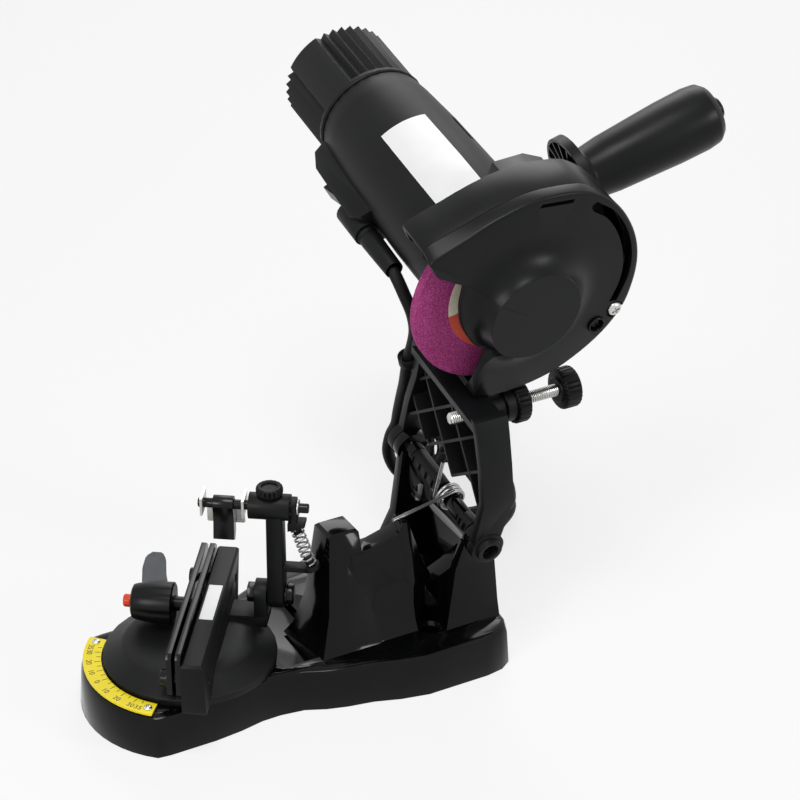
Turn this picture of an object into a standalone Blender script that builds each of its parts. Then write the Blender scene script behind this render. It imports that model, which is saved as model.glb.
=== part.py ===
import bpy
import bmesh
from math import asin, atan2, cos, degrees, hypot, pi, radians, sin, sqrt
from mathutils import Euler, Matrix, Vector

# Electric chain sharpener: a small bench grinder that sharpens saw chains.
# Metres, +Z up, +Y from the chain vise to the hinge column, +X towards the operator's right hand.
# The origin lies on the bench, midway between the two bolts that hold the base down.

for old in list(bpy.data.objects):
    bpy.data.objects.remove(old, do_unlink=True)

# Driving sizes of the whole machine
clearance = 0.0003
overrun = 0.003
turntable_to_bolts = 0.116
hinge_behind_bolts = 0.0255
hinge_height = 0.075
head_lean = radians(13.0)
vise_turn = radians(-35.0)
wheel_above_hinge = 0.127
wheel_behind_hinge = 0.0184
wheel_radius = 0.0525
wheel_thickness = 0.0048
wheel_bore = 0.0222

parts = bpy.data.collections.new("chain_sharpener")
cutters = bpy.data.collections.new("chain_sharpener_cutters")
bpy.context.scene.collection.children.link(parts)
bpy.context.scene.collection.children.link(cutters)


# Materials

def material(name, colour, roughness, metallic=0.0):
    made = bpy.data.materials.new(name)
    made.use_nodes = True
    shader = made.node_tree.nodes["Principled BSDF"]
    shader.inputs["Base Color"].default_value = (*colour, 1.0)
    shader.inputs["Roughness"].default_value = roughness
    shader.inputs["Metallic"].default_value = metallic
    return made


gloss_black = material("gloss_black_paint", (0.012, 0.012, 0.013), 0.12)
matte_black = material("matte_black_plastic", (0.022, 0.022, 0.024), 0.5)
black_steel = material("blackened_steel", (0.03, 0.03, 0.032), 0.38, 0.6)
zinc_steel = material("zinc_plated_steel", (0.62, 0.62, 0.6), 0.28, 1.0)
bright_steel = material("ground_steel", (0.56, 0.56, 0.57), 0.22, 1.0)
spring_steel = material("spring_steel", (0.4, 0.4, 0.41), 0.3, 1.0)
copper = material("copper_winding", (0.72, 0.33, 0.16), 0.35, 1.0)
pink_stone = material("pink_grinding_stone", (0.55, 0.1, 0.33), 0.9)
yellow_plate = material("yellow_scale_plate", (0.95, 0.8, 0.02), 0.4)
red_plastic = material("red_plastic", (0.75, 0.09, 0.04), 0.4)
grey_plastic = material("grey_plastic", (0.2, 0.2, 0.2), 0.5)
cord_rubber = material("cord_rubber", (0.02, 0.02, 0.02), 0.6)


# Frames of the moving groups: each empty stands on a joint's axis

def frame(name, location, rotation=(0.0, 0.0, 0.0), parent=None):
    made = bpy.data.objects.new(name, None)
    parts.objects.link(made)
    made.location = location
    made.rotation_euler = rotation
    made.parent = parent
    return made


bench_frame = frame("bench_frame", (0.0, 0.0, 0.0))
vise_frame = frame("vise_frame", (0.0, -turntable_to_bolts, 0.0), (0.0, 0.0, vise_turn))
swing_frame = frame("swing_frame", (0.0, hinge_behind_bolts, hinge_height), (0.0, head_lean, 0.0))
spindle_frame = frame("spindle_frame", (0.0, wheel_behind_hinge, wheel_above_hinge), parent=swing_frame)

along_x = (0.0, radians(90.0), 0.0)
along_y = (radians(-90.0), 0.0, 0.0)
along_z = (0.0, 0.0, 0.0)
side_plane = (radians(90.0), 0.0, radians(90.0))
front_plane = (radians(90.0), 0.0, 0.0)


# Modelling helpers

def place(mesh, name, finish, parent, location, rotation):
    made = bpy.data.objects.new(name, mesh)
    mesh.materials.clear()
    mesh.materials.append(finish)
    made.parent = parent
    made.location = location
    made.rotation_euler = rotation
    parts.objects.link(made)
    return made


def shade(target, angle=radians(35.0)):
    target.data.shade_smooth()
    target.data.set_sharp_from_angle(angle=angle)
    return target


def from_bmesh(work, name, finish, parent, location=(0.0, 0.0, 0.0), rotation=along_z):
    bmesh.ops.recalc_face_normals(work, faces=work.faces)
    mesh = bpy.data.meshes.new(name)
    work.to_mesh(mesh)
    work.free()
    return shade(place(mesh, name, finish, parent, location, rotation))


def block(name, size, centre, finish, parent, rotation=along_z, rounding=0.0, segments=2):
    work = bmesh.new()
    bmesh.ops.create_cube(work, size=1.0, matrix=Matrix.Diagonal((*size, 1.0)))
    if rounding > 0.0:
        bmesh.ops.bevel(work, geom=work.edges[:], offset=rounding, segments=segments,
                        profile=0.5, affect='EDGES')
    return from_bmesh(work, name, finish, parent, centre, rotation)


def rod(name, radius, length, centre, finish, parent, rotation=along_z, sides=18, end_radius=None,
        chamfer=0.0):
    work = bmesh.new()
    far = radius if end_radius is None else end_radius
    bmesh.ops.create_cone(work, cap_ends=True, segments=sides, radius1=radius, radius2=far, depth=length)
    if chamfer > 0.0:
        rims = [edge for edge in work.edges if any(len(face.verts) == sides for face in edge.link_faces)]
        bmesh.ops.bevel(work, geom=rims, offset=chamfer, segments=1, profile=0.5, affect='EDGES')
    return from_bmesh(work, name, finish, parent, centre, rotation)


def turned(name, profile, finish, parent, location=(0.0, 0.0, 0.0), rotation=along_z, steps=20,
           closed=False):
    mesh = bpy.data.meshes.new(name)
    count = len(profile)
    links = [(index, index + 1) for index in range(count - 1)]
    if closed:
        links.append((count - 1, 0))
    mesh.from_pydata([(radius, 0.0, height) for radius, height in profile], links, [])
    made = place(mesh, name, finish, parent, location, rotation)
    lathe = made.modifiers.new("lathe", 'SCREW')
    lathe.axis = 'Z'
    lathe.angle = 2.0 * pi
    lathe.steps = steps
    lathe.render_steps = steps
    lathe.use_merge_vertices = True
    lathe.merge_threshold = 0.00001
    lathe.use_smooth_shade = True
    return made


def plate(name, outline, thickness, finish, parent, location=(0.0, 0.0, 0.0), rotation=along_z,
          holes=(), rounding=0.0):
    curve = bpy.data.curves.new(name, 'CURVE')
    curve.dimensions = '2D'
    curve.fill_mode = 'BOTH'
    curve.extrude = thickness / 2.0 - rounding
    curve.bevel_depth = rounding
    curve.bevel_resolution = 1
    curve.offset = -rounding
    for loop in (outline, *holes):
        spline = curve.splines.new('POLY')
        spline.points.add(len(loop) - 1)
        for point, (across, up) in zip(spline.points, loop):
            point.co = (across, up, 0.0, 1.0)
        spline.use_cyclic_u = True
    holder = bpy.data.objects.new(name, curve)
    cutters.objects.link(holder)
    mesh = to_mesh(holder, name)
    return shade(place(mesh, name, finish, parent, location, rotation))


def to_mesh(holder, name):
    bpy.context.view_layer.update()
    ready = holder.evaluated_get(bpy.context.evaluated_depsgraph_get())
    mesh = bpy.data.meshes.new_from_object(ready)
    mesh.name = name
    bpy.data.objects.remove(holder, do_unlink=True)
    work = bmesh.new()
    work.from_mesh(mesh)
    bmesh.ops.remove_doubles(work, verts=work.verts, dist=0.000002)
    bmesh.ops.recalc_face_normals(work, faces=work.faces)
    work.to_mesh(mesh)
    work.free()
    return mesh


def loft(name, sections, finish, parent, location=(0.0, 0.0, 0.0), rotation=along_z):
    work = bmesh.new()
    rings = [[work.verts.new(point) for point in section] for section in sections]
    for lower, upper in zip(rings, rings[1:]):
        for index in range(len(lower)):
            after = (index + 1) % len(lower)
            work.faces.new((lower[index], lower[after], upper[after], upper[index]))
    work.faces.new(rings[0])
    work.faces.new(rings[-1])
    return from_bmesh(work, name, finish, parent, location, rotation)


def tube(name, points, radius, finish, parent, location=(0.0, 0.0, 0.0), rotation=along_z,
         resolution=1):
    curve = bpy.data.curves.new(name, 'CURVE')
    curve.dimensions = '3D'
    curve.bevel_depth = radius
    curve.bevel_resolution = resolution
    curve.use_fill_caps = True
    spline = curve.splines.new('POLY')
    spline.points.add(len(points) - 1)
    for point, place_of in zip(spline.points, points):
        point.co = (*place_of, 1.0)
    holder = bpy.data.objects.new(name, curve)
    cutters.objects.link(holder)
    return shade(place(to_mesh(holder, name), name, finish, parent, location, rotation))


def hide_tool(tool):
    parts.objects.unlink(tool)
    cutters.objects.link(tool)
    tool.hide_render = True
    tool.display_type = 'WIRE'


def boolean(target, tools, operation):
    for tool in tools:
        step = target.modifiers.new(operation.lower(), 'BOOLEAN')
        step.operation = operation
        step.solver = 'EXACT'
        step.object = tool
        hide_tool(tool)
    return target


def cut(target, *tools):
    return boolean(target, tools, 'DIFFERENCE')


def join(target, *tools):
    return boolean(target, tools, 'UNION')


def smooth_line(points, steps):
    line = []
    last = len(points) - 1
    for index in range(last):
        before = Vector(points[max(index - 1, 0)])
        start = Vector(points[index])
        end = Vector(points[index + 1])
        after = Vector(points[min(index + 2, last)])
        for step in range(steps):
            share = step / steps
            line.append(0.5 * (2.0 * start + (end - before) * share
                               + (2.0 * before - 5.0 * start + 4.0 * end - after) * share ** 2
                               + (3.0 * start - before - 3.0 * end + after) * share ** 3))
    line.append(Vector(points[last]))
    return [tuple(point) for point in line]


def arc(centre, radius, start, end, count):
    return [(centre[0] + radius * cos(start + (end - start) * index / (count - 1)),
             centre[1] + radius * sin(start + (end - start) * index / (count - 1)))
            for index in range(count)]


def hexagon(radius):
    return [(radius * cos(pi / 3.0 * index), radius * sin(pi / 3.0 * index)) for index in range(6)]


def bolt(name, head_radius, head_height, shank_radius, shank_length, finish, parent, location, rotation,
         washer_radius=0.0, washer_height=0.0):
    # the head's seat lies at the origin, the shank runs down
    profile = [(0.0, head_height), (head_radius * 0.92, head_height), (head_radius, head_height * 0.85),
               (head_radius, washer_height)]
    if washer_radius > 0.0:
        profile += [(washer_radius, washer_height)]
        profile += [(washer_radius, 0.0)]
    else:
        profile += [(head_radius, 0.0)]
    profile += [(shank_radius, 0.0), (shank_radius, -shank_length), (0.0, -shank_length)]
    return turned(name, profile, finish, parent, location, rotation, steps=12)


def hex_socket(radius, depth, parent, location, rotation):
    return plate("socket", hexagon(radius), depth + overrun, matte_black, parent, location, rotation)


# Base casting: nose round the turntable, waist, widening foot under the hinge column

base_height = 0.022
wall = 0.0035
nose_radius = 0.0545
flank = [(0.0413, -0.030), (0.0413, -0.006), (0.0400, 0.008), (0.0378, 0.020), (0.0377, 0.030),
         (0.0395, 0.042), (0.0440, 0.052), (0.0470, 0.062), (0.0495, 0.075), (0.0540, 0.088),
         (0.0570, 0.102), (0.0570, 0.135), (0.0555, 0.144), (0.0515, 0.150), (0.0450, 0.153),
         (0.0360, 0.154)]


def from_turntable(points):
    return [(across, along - turntable_to_bolts) for across, along in points]


nose = arc((0.0, 0.0), nose_radius, radians(-90.0), radians(-42.0), 8)
right_side = [point[:2] for point in smooth_line([(*point, 0.0) for point in nose[-1:] + flank], 1)]
right_side = from_turntable(nose[:-1] + right_side)
outline = right_side + [(-across, along) for across, along in reversed(right_side[1:])]


def inset(loop, distance):
    moved = []
    for index, (across, along) in enumerate(loop):
        before = Vector(loop[index - 1])
        after = Vector(loop[(index + 1) % len(loop)])
        inward = Vector((-(after - before).y, (after - before).x)).normalized()
        moved.append((across + inward.x * distance, along + inward.y * distance))
    return moved


def level(loop, height):
    return [(across, along, height) for across, along in loop]


rounding_steps = [(0.0, 0.0), (0.0012, 0.0180), (0.0022, 0.0210), (0.0042, base_height)]
base = loft("base_casting", [level(inset(outline, step), height) for step, height in rounding_steps],
            gloss_black, bench_frame)
hollow = loft("base_hollow", [level(inset(outline, wall), -overrun),
                              level(inset(outline, wall + 0.0016), base_height - wall)],
              gloss_black, bench_frame)
cut(base, hollow)


def tapered(name, rings, finish, parent):
    # each ring: height, left, right, front, rear
    sections = [[(left, front, height), (right, front, height), (right, rear, height), (left, rear, height)]
                for height, left, right, front, rear in rings]
    return loft(name, sections, finish, parent)


def cal(along):
    return along - turntable_to_bolts


root_height = base_height - wall - 0.001
bolt_spacing = 0.064
bolt_hole = 0.009
head_recess = 0.017
pad_half = 0.0055
bearing_boss = rod("bearing_boss", 0.012, base_height - 0.002, (0.0, -turntable_to_bolts, base_height / 2.0),
                   gloss_black, bench_frame)
join(base, bearing_boss)
centre_pad = block("centre_pad", (bolt_spacing, 2.0 * pad_half, base_height - 0.002),
                   (0.0, 0.0, (base_height - 0.002) / 2.0), gloss_black, bench_frame)
join(base, centre_pad)
for side in (-1.0, 1.0):
    join(base, rod("bolt_boss", 0.0115, base_height - 0.002,
                   (side * bolt_spacing / 2.0, 0.0, (base_height - 0.002) / 2.0), gloss_black, bench_frame))
long_rib = block("long_rib", (0.003, 0.190, 0.016), (0.0, -0.061, 0.0125), gloss_black, bench_frame)
join(base, long_rib)
pocket_frame = block("pocket_frame", (0.072, 0.036, 0.0085), (0.0, cal(0.050), 0.0150), gloss_black,
                     bench_frame)
join(base, pocket_frame)

# the tower the depth screw meets, with drafted sides
tower_half = 0.008
tower_top = 0.078
tower_x = 0.0075
tower_y = cal(0.077)
tower = tapered("tower", [(root_height, -0.003, 0.037, cal(0.052), cal(0.088)),
                          (0.024, 0.0, 0.034, cal(0.056), cal(0.087)),
                          (0.040, -0.0005, 0.026, cal(0.063), cal(0.086)),
                          (tower_top - 0.0015, tower_x - tower_half, tower_x + tower_half,
                           tower_y - tower_half, tower_y + tower_half),
                          (tower_top, tower_x - tower_half + 0.0015, tower_x + tower_half - 0.0015,
                           tower_y - tower_half + 0.0015, tower_y + tower_half - 0.0015)],
                gloss_black, bench_frame)
pocket = block("pocket", (0.062, 0.027, 0.010), (0.0, cal(0.0495), 0.0210), gloss_black, bench_frame,
               rounding=0.002)
cut(base, pocket)
join(base, tower)

# the saddle web from tower to column
saddle_rings = [(0.079, 0.066), (0.092, 0.0675), (0.105, 0.071), (0.1075, 0.0765), (0.1105, 0.0760),
                (0.1125, 0.070), (0.118, 0.053), (0.125, 0.038), (0.134, 0.042), (0.144, 0.048)]
saddle_sections = []
for along, height in saddle_rings:
    middle = (height + base_height) / 2.0
    saddle_sections.append([(-0.016, cal(along), root_height), (0.0, cal(along), middle),
                            (0.009, cal(along), height), (0.019, cal(along), height),
                            (0.024, cal(along), middle), (0.036, cal(along), root_height)])
saddle = loft("saddle", saddle_sections, gloss_black, bench_frame)
join(base, saddle)

# hinge column: two drafted walls joined by a back web, bosses turned with the leaning hinge line
pin_radius = 0.003
column_inner = 0.0335
column_outer = 0.0387
boss_radius = 0.0088
near_wall = tapered("near_wall", [(root_height, 0.0290, 0.0420, cal(0.119), cal(0.1505)),
                                  (0.030, 0.0300, 0.0385, cal(0.123), cal(0.1505)),
                                  (0.052, 0.0305, 0.0357, cal(0.128), cal(0.1500)),
                                  (0.066, 0.0305, 0.0355, cal(0.133), cal(0.1495))],
                    gloss_black, bench_frame)
far_wall = tapered("far_wall", [(root_height, -0.0420, -0.0290, cal(0.118), cal(0.1505)),
                                (0.030, -0.0390, -0.0300, cal(0.123), cal(0.1505)),
                                (0.048, -0.0365, -0.0305, cal(0.130), cal(0.1505)),
                                (0.083, -0.0360, -0.0305, cal(0.1345), cal(0.1500))],
                   gloss_black, bench_frame)
back_web = tapered("back_web", [(root_height, -0.0330, 0.0330, cal(0.142), cal(0.1505)),
                                (0.050, -0.0330, 0.0330, cal(0.1460), cal(0.1500))],
                   gloss_black, bench_frame)
slot_middle = (-0.0355, cal(0.1440), 0.056)
ear_slot = plate("ear_slot", arc((0.0, 0.003), 0.0025, 0.0, pi, 7) + arc((0.0, -0.003), 0.0025, pi, 2.0 * pi, 7),
                 0.020, gloss_black, bench_frame, slot_middle, side_plane)
cut(far_wall, ear_slot)
join(base, near_wall, far_wall, back_web)
for side in (-1.0, 1.0):
    join(base, rod("pin_boss", boss_radius, column_outer - column_inner,
                   (side * (column_outer + column_inner) / 2.0, 0.0, 0.0), gloss_black, swing_frame, along_x,
                   sides=32))
spring_lug = rod("spring_lug", 0.0048, 0.0115, (-0.0332, 0.0, 0.0), gloss_black, swing_frame, along_x)
join(base, spring_lug)
cut(base, rod("pin_bore", pin_radius + clearance, 0.140, (0.0, 0.0, 0.0), gloss_black, swing_frame, along_x))
seat_groove = rod("spring_seat", 0.0016, 0.020, (0.0140, cal(0.1090), 0.0769), gloss_black, bench_frame, along_y,
                  sides=12)
cut(base, seat_groove)
for side in (-1.0, 1.0):
    middle = side * bolt_spacing / 2.0
    cut(base, rod("bolt_bore", bolt_hole / 2.0, 0.060, (middle, 0.0, 0.012), gloss_black, bench_frame),
        rod("head_bore", head_recess / 2.0, 0.060, (middle, 0.0, 0.030 + base_height - 0.004), gloss_black,
            bench_frame))
cut(base, rod("turntable_bore", 0.0046, 0.080, (0.0, -turntable_to_bolts, 0.012), gloss_black, bench_frame),
    rod("nut_bore", 0.0098, 0.020, (0.0, -turntable_to_bolts, 0.002), gloss_black, bench_frame))

# Angle scale on the nose
scale_inner = 0.0433
scale_outer = 0.0522
scale_half = radians(48.0)
scale_top = base_height + 0.0016
scale = plate("angle_scale", arc((0.0, 0.0), scale_outer, -pi / 2.0 - scale_half, -pi / 2.0 + scale_half, 33)
              + arc((0.0, 0.0), scale_inner, -pi / 2.0 + scale_half, -pi / 2.0 - scale_half, 33),
              0.0010, yellow_plate, bench_frame, (0.0, -turntable_to_bolts, base_height + clearance + 0.0005))
for side, label in ((-1.0, "left"), (1.0, "right")):
    angle = -pi / 2.0 + side * radians(42.5)
    spot = (0.0477 * cos(angle), 0.0477 * sin(angle) - turntable_to_bolts, base_height + 0.0016 + clearance)
    cut(scale, rod("scale_hole", 0.0012 + clearance, 0.020, spot, yellow_plate, bench_frame))
    bolt("scale_screw_" + label, 0.0022, 0.0013, 0.0012, 0.006, zinc_steel, bench_frame, spot, along_z)
    cut(base, rod("screw_bore", 0.0012 + clearance, 0.016, spot, gloss_black, bench_frame))

# Turntable
brim_radius = 0.0425
turntable_floor = base_height + clearance
vise_body = turned("vise_body", [(0.0, 0.0328), (0.024, 0.0328), (0.0315, 0.0322), (0.0335, 0.0312),
                                 (0.0345, 0.0300), (brim_radius - 0.0005, 0.0262), (brim_radius, 0.0255),
                                 (brim_radius, turntable_floor), (0.034, turntable_floor), (0.032, 0.0262),
                                 (0.014, 0.0262), (0.0125, turntable_floor), (0.0, turntable_floor)],
                   matte_black, vise_frame, steps=32)
cut(vise_body, rod("turntable_hole", 0.0043, 0.040, (0.0, 0.0, 0.0075), matte_black, vise_frame))
clamp_seat = 0.0120
turned("turntable_washer", [(0.0085, clamp_seat - clearance), (0.0085, clamp_seat - 0.0013),
                            (0.0044, clamp_seat - 0.0013), (0.0044, clamp_seat - clearance)],
       zinc_steel, vise_frame, closed=True, steps=24)
bolt("turntable_bolt", 0.0068, 0.0050, 0.0040, 0.0160, zinc_steel, vise_frame,
     (0.0, 0.0, clamp_seat - 0.0013 - clearance), (pi, 0.0, 0.0))

# Chain vise on the turntable: body, fixed rail behind, moving rail in front
rail_low = 0.0475
rail_high = 0.0560
rail_thickness = 0.0026
rail_left = -0.054
rail_right = 0.048
body_front = 0.0052
vise_block = tapered("vise_block", [(0.0245, -0.030, 0.0505, body_front, 0.0170),
                                  (0.0265, -0.040, 0.0510, body_front, 0.0170),
                                  (0.0505, -0.054, 0.0505, body_front, 0.0160),
                                  (0.0520, -0.053, 0.0495, body_front + 0.0012, 0.0150)],
                    matte_black, vise_frame)
rail_slot = block("rail_slot", (0.150, 0.0096, 0.0400), (0.0, body_front - 0.0048, 0.0486), matte_black, vise_frame)
cut(vise_body, rail_slot)
join(vise_body, vise_block)
rail_outline = [(-0.054, 0.0400), (-0.0520, 0.0300), (-0.0300, 0.0290), (0.0440, 0.0290), (0.0480, 0.0330),
                (0.0480, 0.0530), (0.0460, 0.0555), (-0.0500, 0.0555), (-0.0540, 0.0520)]
rail_holes = []
bolt_spots = ((-0.040, 0.0420), (0.040, 0.0370))
for across, up in bolt_spots:
    rail_holes.append([(across + 0.0026 * cos(turn), up + 0.0026 * sin(turn))
                       for turn in (2.0 * pi * index / 12 for index in range(12))])
shaft_spot = (-0.012, 0.0440)
shaft_hole = [(shaft_spot[0] + 0.0050 * cos(turn), shaft_spot[1] + 0.0050 * sin(turn))
              for turn in (2.0 * pi * index / 16 for index in range(16))]
rail_fixed = plate("rail_fixed", rail_outline, rail_thickness, black_steel, vise_frame,
                   (0.0, body_front - clearance - rail_thickness / 2.0, 0.0), front_plane,
                   holes=(*rail_holes, shaft_hole))
rail_gap = 0.0018
moving_middle = body_front - clearance - 1.5 * rail_thickness - rail_gap
rail_moving = plate("rail_moving", rail_outline, rail_thickness, black_steel, vise_frame,
                    (0.0, moving_middle, 0.0), front_plane, holes=(*rail_holes, shaft_hole))
for (across, up), label in zip(bolt_spots, ("far", "near")):
    spot = (across, moving_middle - rail_thickness / 2.0 - clearance, up)
    bolt("rail_bolt_" + label, 0.0042, 0.0042, 0.0022, 0.0140, bright_steel, vise_frame, spot,
         (radians(90.0), 0.0, 0.0), washer_radius=0.0060, washer_height=0.0009)
    cut(vise_body, rod("rail_bolt_bore", 0.0022 + clearance, 0.020, (across, body_front + 0.004, up),
                       matte_black, vise_frame, along_y, sides=16))

# Clamping lever: hub on a splined shaft, with its push button
hub_big = 0.0106
hub_small = 0.0074
hub_front = -0.0300
hub_back = -0.0062
lever_hub = turned("lever_hub", [(0.0, -hub_back), (0.0, -hub_back)][:0] + [
    (0.0042, 0.0), (hub_big - 0.0012, 0.0), (hub_big, -0.0012), (hub_big, -0.0105), (hub_small + 0.0012, -0.0130),
    (hub_small, -0.0160), (hub_small, -0.0228), (hub_small - 0.0010, -0.0238), (0.0036, -0.0238),
    (0.0036, -0.0150), (0.0042, -0.0150)], matte_black, vise_frame,
    (shaft_spot[0], hub_back, shaft_spot[1]), along_y, steps=32, closed=True)
wing = plate("lever_wing", [(-0.008, -0.004), (-0.022, -0.001), (-0.036, 0.004), (-0.042, 0.010), (-0.041, 0.015),
                            (-0.034, 0.015), (-0.022, 0.010), (-0.008, 0.006)], 0.0075, matte_black, vise_frame,
             (shaft_spot[0], hub_back - 0.0070, shaft_spot[1]), front_plane)
join(lever_hub, wing)
push_button = turned("push_button", [(0.0, -0.0150), (0.0030, -0.0150), (0.0030, -0.0232), (0.0032, -0.0240),
                                     (0.0032, -0.0275), (0.0026, -0.0282), (0.0, -0.0282)], red_plastic,
                     vise_frame, (shaft_spot[0], hub_back, shaft_spot[1]), along_y, steps=24)
clamp_shaft = turned("clamp_shaft", [(0.0, 0.0060), (0.0036, 0.0060), (0.0036, -0.0125), (0.0, -0.0125)],
                     bright_steel, vise_frame, (shaft_spot[0], hub_back, shaft_spot[1]), along_y, steps=24)
cut(vise_body, rod("shaft_bore", 0.0042, 0.010, (shaft_spot[0], body_front + 0.0010, shaft_spot[1]), matte_black,
                   vise_frame, along_y))

# Chain stop behind the rails: post, rod, bracket, pawl, spring and lever
post_x = -0.025
post_y = 0.0310
post_foot = 0.045
rod_height = 0.0950
post_arm = tapered("stop_carrier", [(0.0290, post_x - 0.007, post_x + 0.007, 0.0140, 0.0350),
                                    (0.0350, post_x - 0.007, post_x + 0.007, 0.0140, 0.0355)],
                   matte_black, vise_frame)
join(vise_body, post_arm)
stop_post = plate("stop_post", arc((0.0, 0.0), 0.0070, pi, 2.0 * pi, 11)
                  + [(0.0060, 0.030), (0.0056, 0.0460)] + arc((0.0, 0.0500), 0.0062, 0.0, pi, 9)
                  + [(-0.0056, 0.0460), (-0.0060, 0.030)], 0.0080, matte_black, vise_frame,
                  (post_x, post_y + 0.0085, post_foot), front_plane, rounding=0.0012)
top_boss = rod("top_boss", 0.0066, 0.0200, (post_x, post_y + 0.0060, rod_height), matte_black, vise_frame, along_y)
join(stop_post, top_boss)
cut(stop_post, rod("rod_bore", 0.0024 + clearance, 0.060, (post_x, post_y, rod_height), matte_black, vise_frame,
                   along_y, sides=20),
    rod("pivot_bore", 0.0026 + clearance, 0.060, (post_x, post_y, post_foot), matte_black, vise_frame, along_y,
        sides=20))
ear = plate("stop_ear", arc((0.0, 0.0), 0.0070, 0.0, pi, 11) + [(-0.0070, -0.0160), (0.0070, -0.0160)], 0.0060,
            matte_black, vise_frame, (post_x, post_y + 0.0009, post_foot), front_plane)
join(vise_body, ear)
cut(vise_body, rod("ear_bore", 0.0026 + clearance, 0.018, (post_x, post_y, post_foot), matte_black, vise_frame,
                   along_y, sides=20))
bolt("post_bolt", 0.0052, 0.0040, 0.0026, 0.0185, bright_steel, vise_frame,
     (post_x, post_y + 0.0128, post_foot), along_y, washer_radius=0.0062, washer_height=0.0010)
post_nut = plate("post_nut", hexagon(0.0050), 0.0036, zinc_steel, vise_frame,
                 (post_x, post_y - 0.0042, post_foot), front_plane)
cut(post_nut, rod("post_nut_hole", 0.0026 + clearance, 0.020, (post_x, post_y - 0.0042, post_foot), zinc_steel,
                  vise_frame, along_y, sides=20))
rod_front = 0.0020
rod_back = 0.0560
stop_rod = rod("stop_rod", 0.0024, rod_back - rod_front, (post_x, (rod_back + rod_front) / 2.0, rod_height),
               zinc_steel, vise_frame, along_y, chamfer=0.0005)
turned("rod_clip", [(0.0042, 0.0004), (0.0042, -0.0004), (0.0024 + clearance, -0.0004),
                    (0.0024 + clearance, 0.0004)], zinc_steel, vise_frame, (post_x, 0.0508, rod_height), along_y,
       closed=True, steps=20)
bracket = block("stop_bracket", (0.0125, 0.0215, 0.0085), (post_x, 0.0145, rod_height + 0.0015), zinc_steel,
                vise_frame, rounding=0.0006)
cut(bracket, block("bracket_inside", (0.0101, 0.0600, 0.0120), (post_x, 0.0145, rod_height - 0.0015), zinc_steel,
                   vise_frame))
bracket_ends = []
for along in (0.0044, 0.0246):
    bracket_ends.append(block("bracket_end", (0.0123, 0.0013, 0.0083), (post_x, along, rod_height + 0.0015),
                              zinc_steel, vise_frame))
join(bracket, *bracket_ends)
blade = block("stop_blade", (0.0012, 0.0190, 0.0125), (post_x - 0.0056, 0.0145, rod_height - 0.0075), zinc_steel,
              vise_frame)
join(bracket, blade)
cut(bracket, rod("bracket_bore", 0.0024 + clearance, 0.080, (post_x, 0.0145, rod_height), zinc_steel, vise_frame,
                 along_y, sides=20))
pawl = plate("stop_pawl", arc((0.0, 0.0), 0.0041, 0.0, pi, 9) + [(-0.0040, -0.0170), (-0.0010, -0.0210),
                                                             (0.0040, -0.0180), (0.0026, -0.0100),
                                                             (0.0026, -0.0040)],
             0.0100, black_steel, vise_frame, (post_x, 0.0145, rod_height), front_plane)
cut(pawl, rod("pawl_bore", 0.0024 + clearance, 0.040, (post_x, 0.0145, rod_height), black_steel, vise_frame,
              along_y, sides=20))
knob_seat = (post_x, post_y + 0.0060, rod_height + 0.0014)
stop_knob = turned("stop_knob", [(0.0, 0.0145), (0.0048, 0.0145), (0.0060, 0.0137), (0.0062, 0.0065),
                                 (0.0040, 0.0055), (0.0022, 0.0055), (0.0022, 0.0014), (0.0, 0.0014)], matte_black,
                   vise_frame, knob_seat, along_z)
cut(stop_post, rod("knob_bore", 0.0025, 0.0080, (post_x, knob_seat[1], rod_height + 0.0060), matte_black, vise_frame))
lever_y = 0.0488
stop_lever = plate("stop_lever", [(-0.0013, 0.0042), (0.0013, 0.0042), (0.0013, -0.0072), (0.0055, -0.0072),
                                  (0.0055, -0.0090), (-0.0030, -0.0118), (-0.0030, -0.0072), (-0.0013, -0.0072)],
                   0.0075, matte_black, vise_frame, (post_x, lever_y, rod_height), side_plane)
turns = 7
curl_points = 8
coil_radius = 0.0031
coil_wire = 0.00055
coil_height = 0.0206
coil_points = []
for index in range(turns * curl_points + 1):
    angle = 2.0 * pi * index / curl_points
    coil_points.append((coil_radius * cos(angle), coil_radius * sin(angle),
                        coil_height * index / (turns * curl_points)))
coil_lean = radians(18.0)
coil_foot = Vector((post_x, 0.0560, 0.0640))
coil_axis = Vector((0.0, -sin(coil_lean), cos(coil_lean)))
tube("stop_spring", coil_points, coil_wire, spring_steel, vise_frame, coil_foot, (coil_lean, 0.0, 0.0))
spigot_radius = coil_radius - coil_wire - 0.0004
shelf = rod("spring_shelf", 0.0044, 0.0024, coil_foot - coil_axis * 0.0021, matte_black, vise_frame,
            (coil_lean, 0.0, 0.0))
shelf_link = block("shelf_link", (0.0060, 0.0160, 0.0026), (post_x, 0.0490, 0.0610), matte_black, vise_frame)
lower_spigot = rod("lower_spigot", spigot_radius, 0.0070, coil_foot, matte_black, vise_frame, (coil_lean, 0.0, 0.0))
join(stop_post, shelf, shelf_link, lower_spigot)
upper_spigot = rod("upper_spigot", spigot_radius, 0.0070, coil_foot + coil_axis * 0.0208, matte_black, vise_frame,
                   (coil_lean, 0.0, 0.0))
join(stop_lever, upper_spigot)
cut(stop_lever, rod("lever_bore", 0.0024 + clearance, 0.0300, (post_x, lever_y, rod_height), matte_black, vise_frame,
                    along_y, sides=20))
print("stop spring: least gap between curls",
      round((coil_height / turns - 2.0 * coil_wire) * 1000.0, 3), "mm")

# Hinge pin, ladder bushes and torsion spring
pin_half = 0.0436
turned("hinge_pin", [(0.0, pin_half), (pin_radius - 0.0005, pin_half), (pin_radius, pin_half - 0.0005),
                     (pin_radius, -pin_half + 0.0005), (pin_radius - 0.0005, -pin_half), (0.0, -pin_half)],
       black_steel, swing_frame, rotation=along_x, steps=24)


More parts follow.
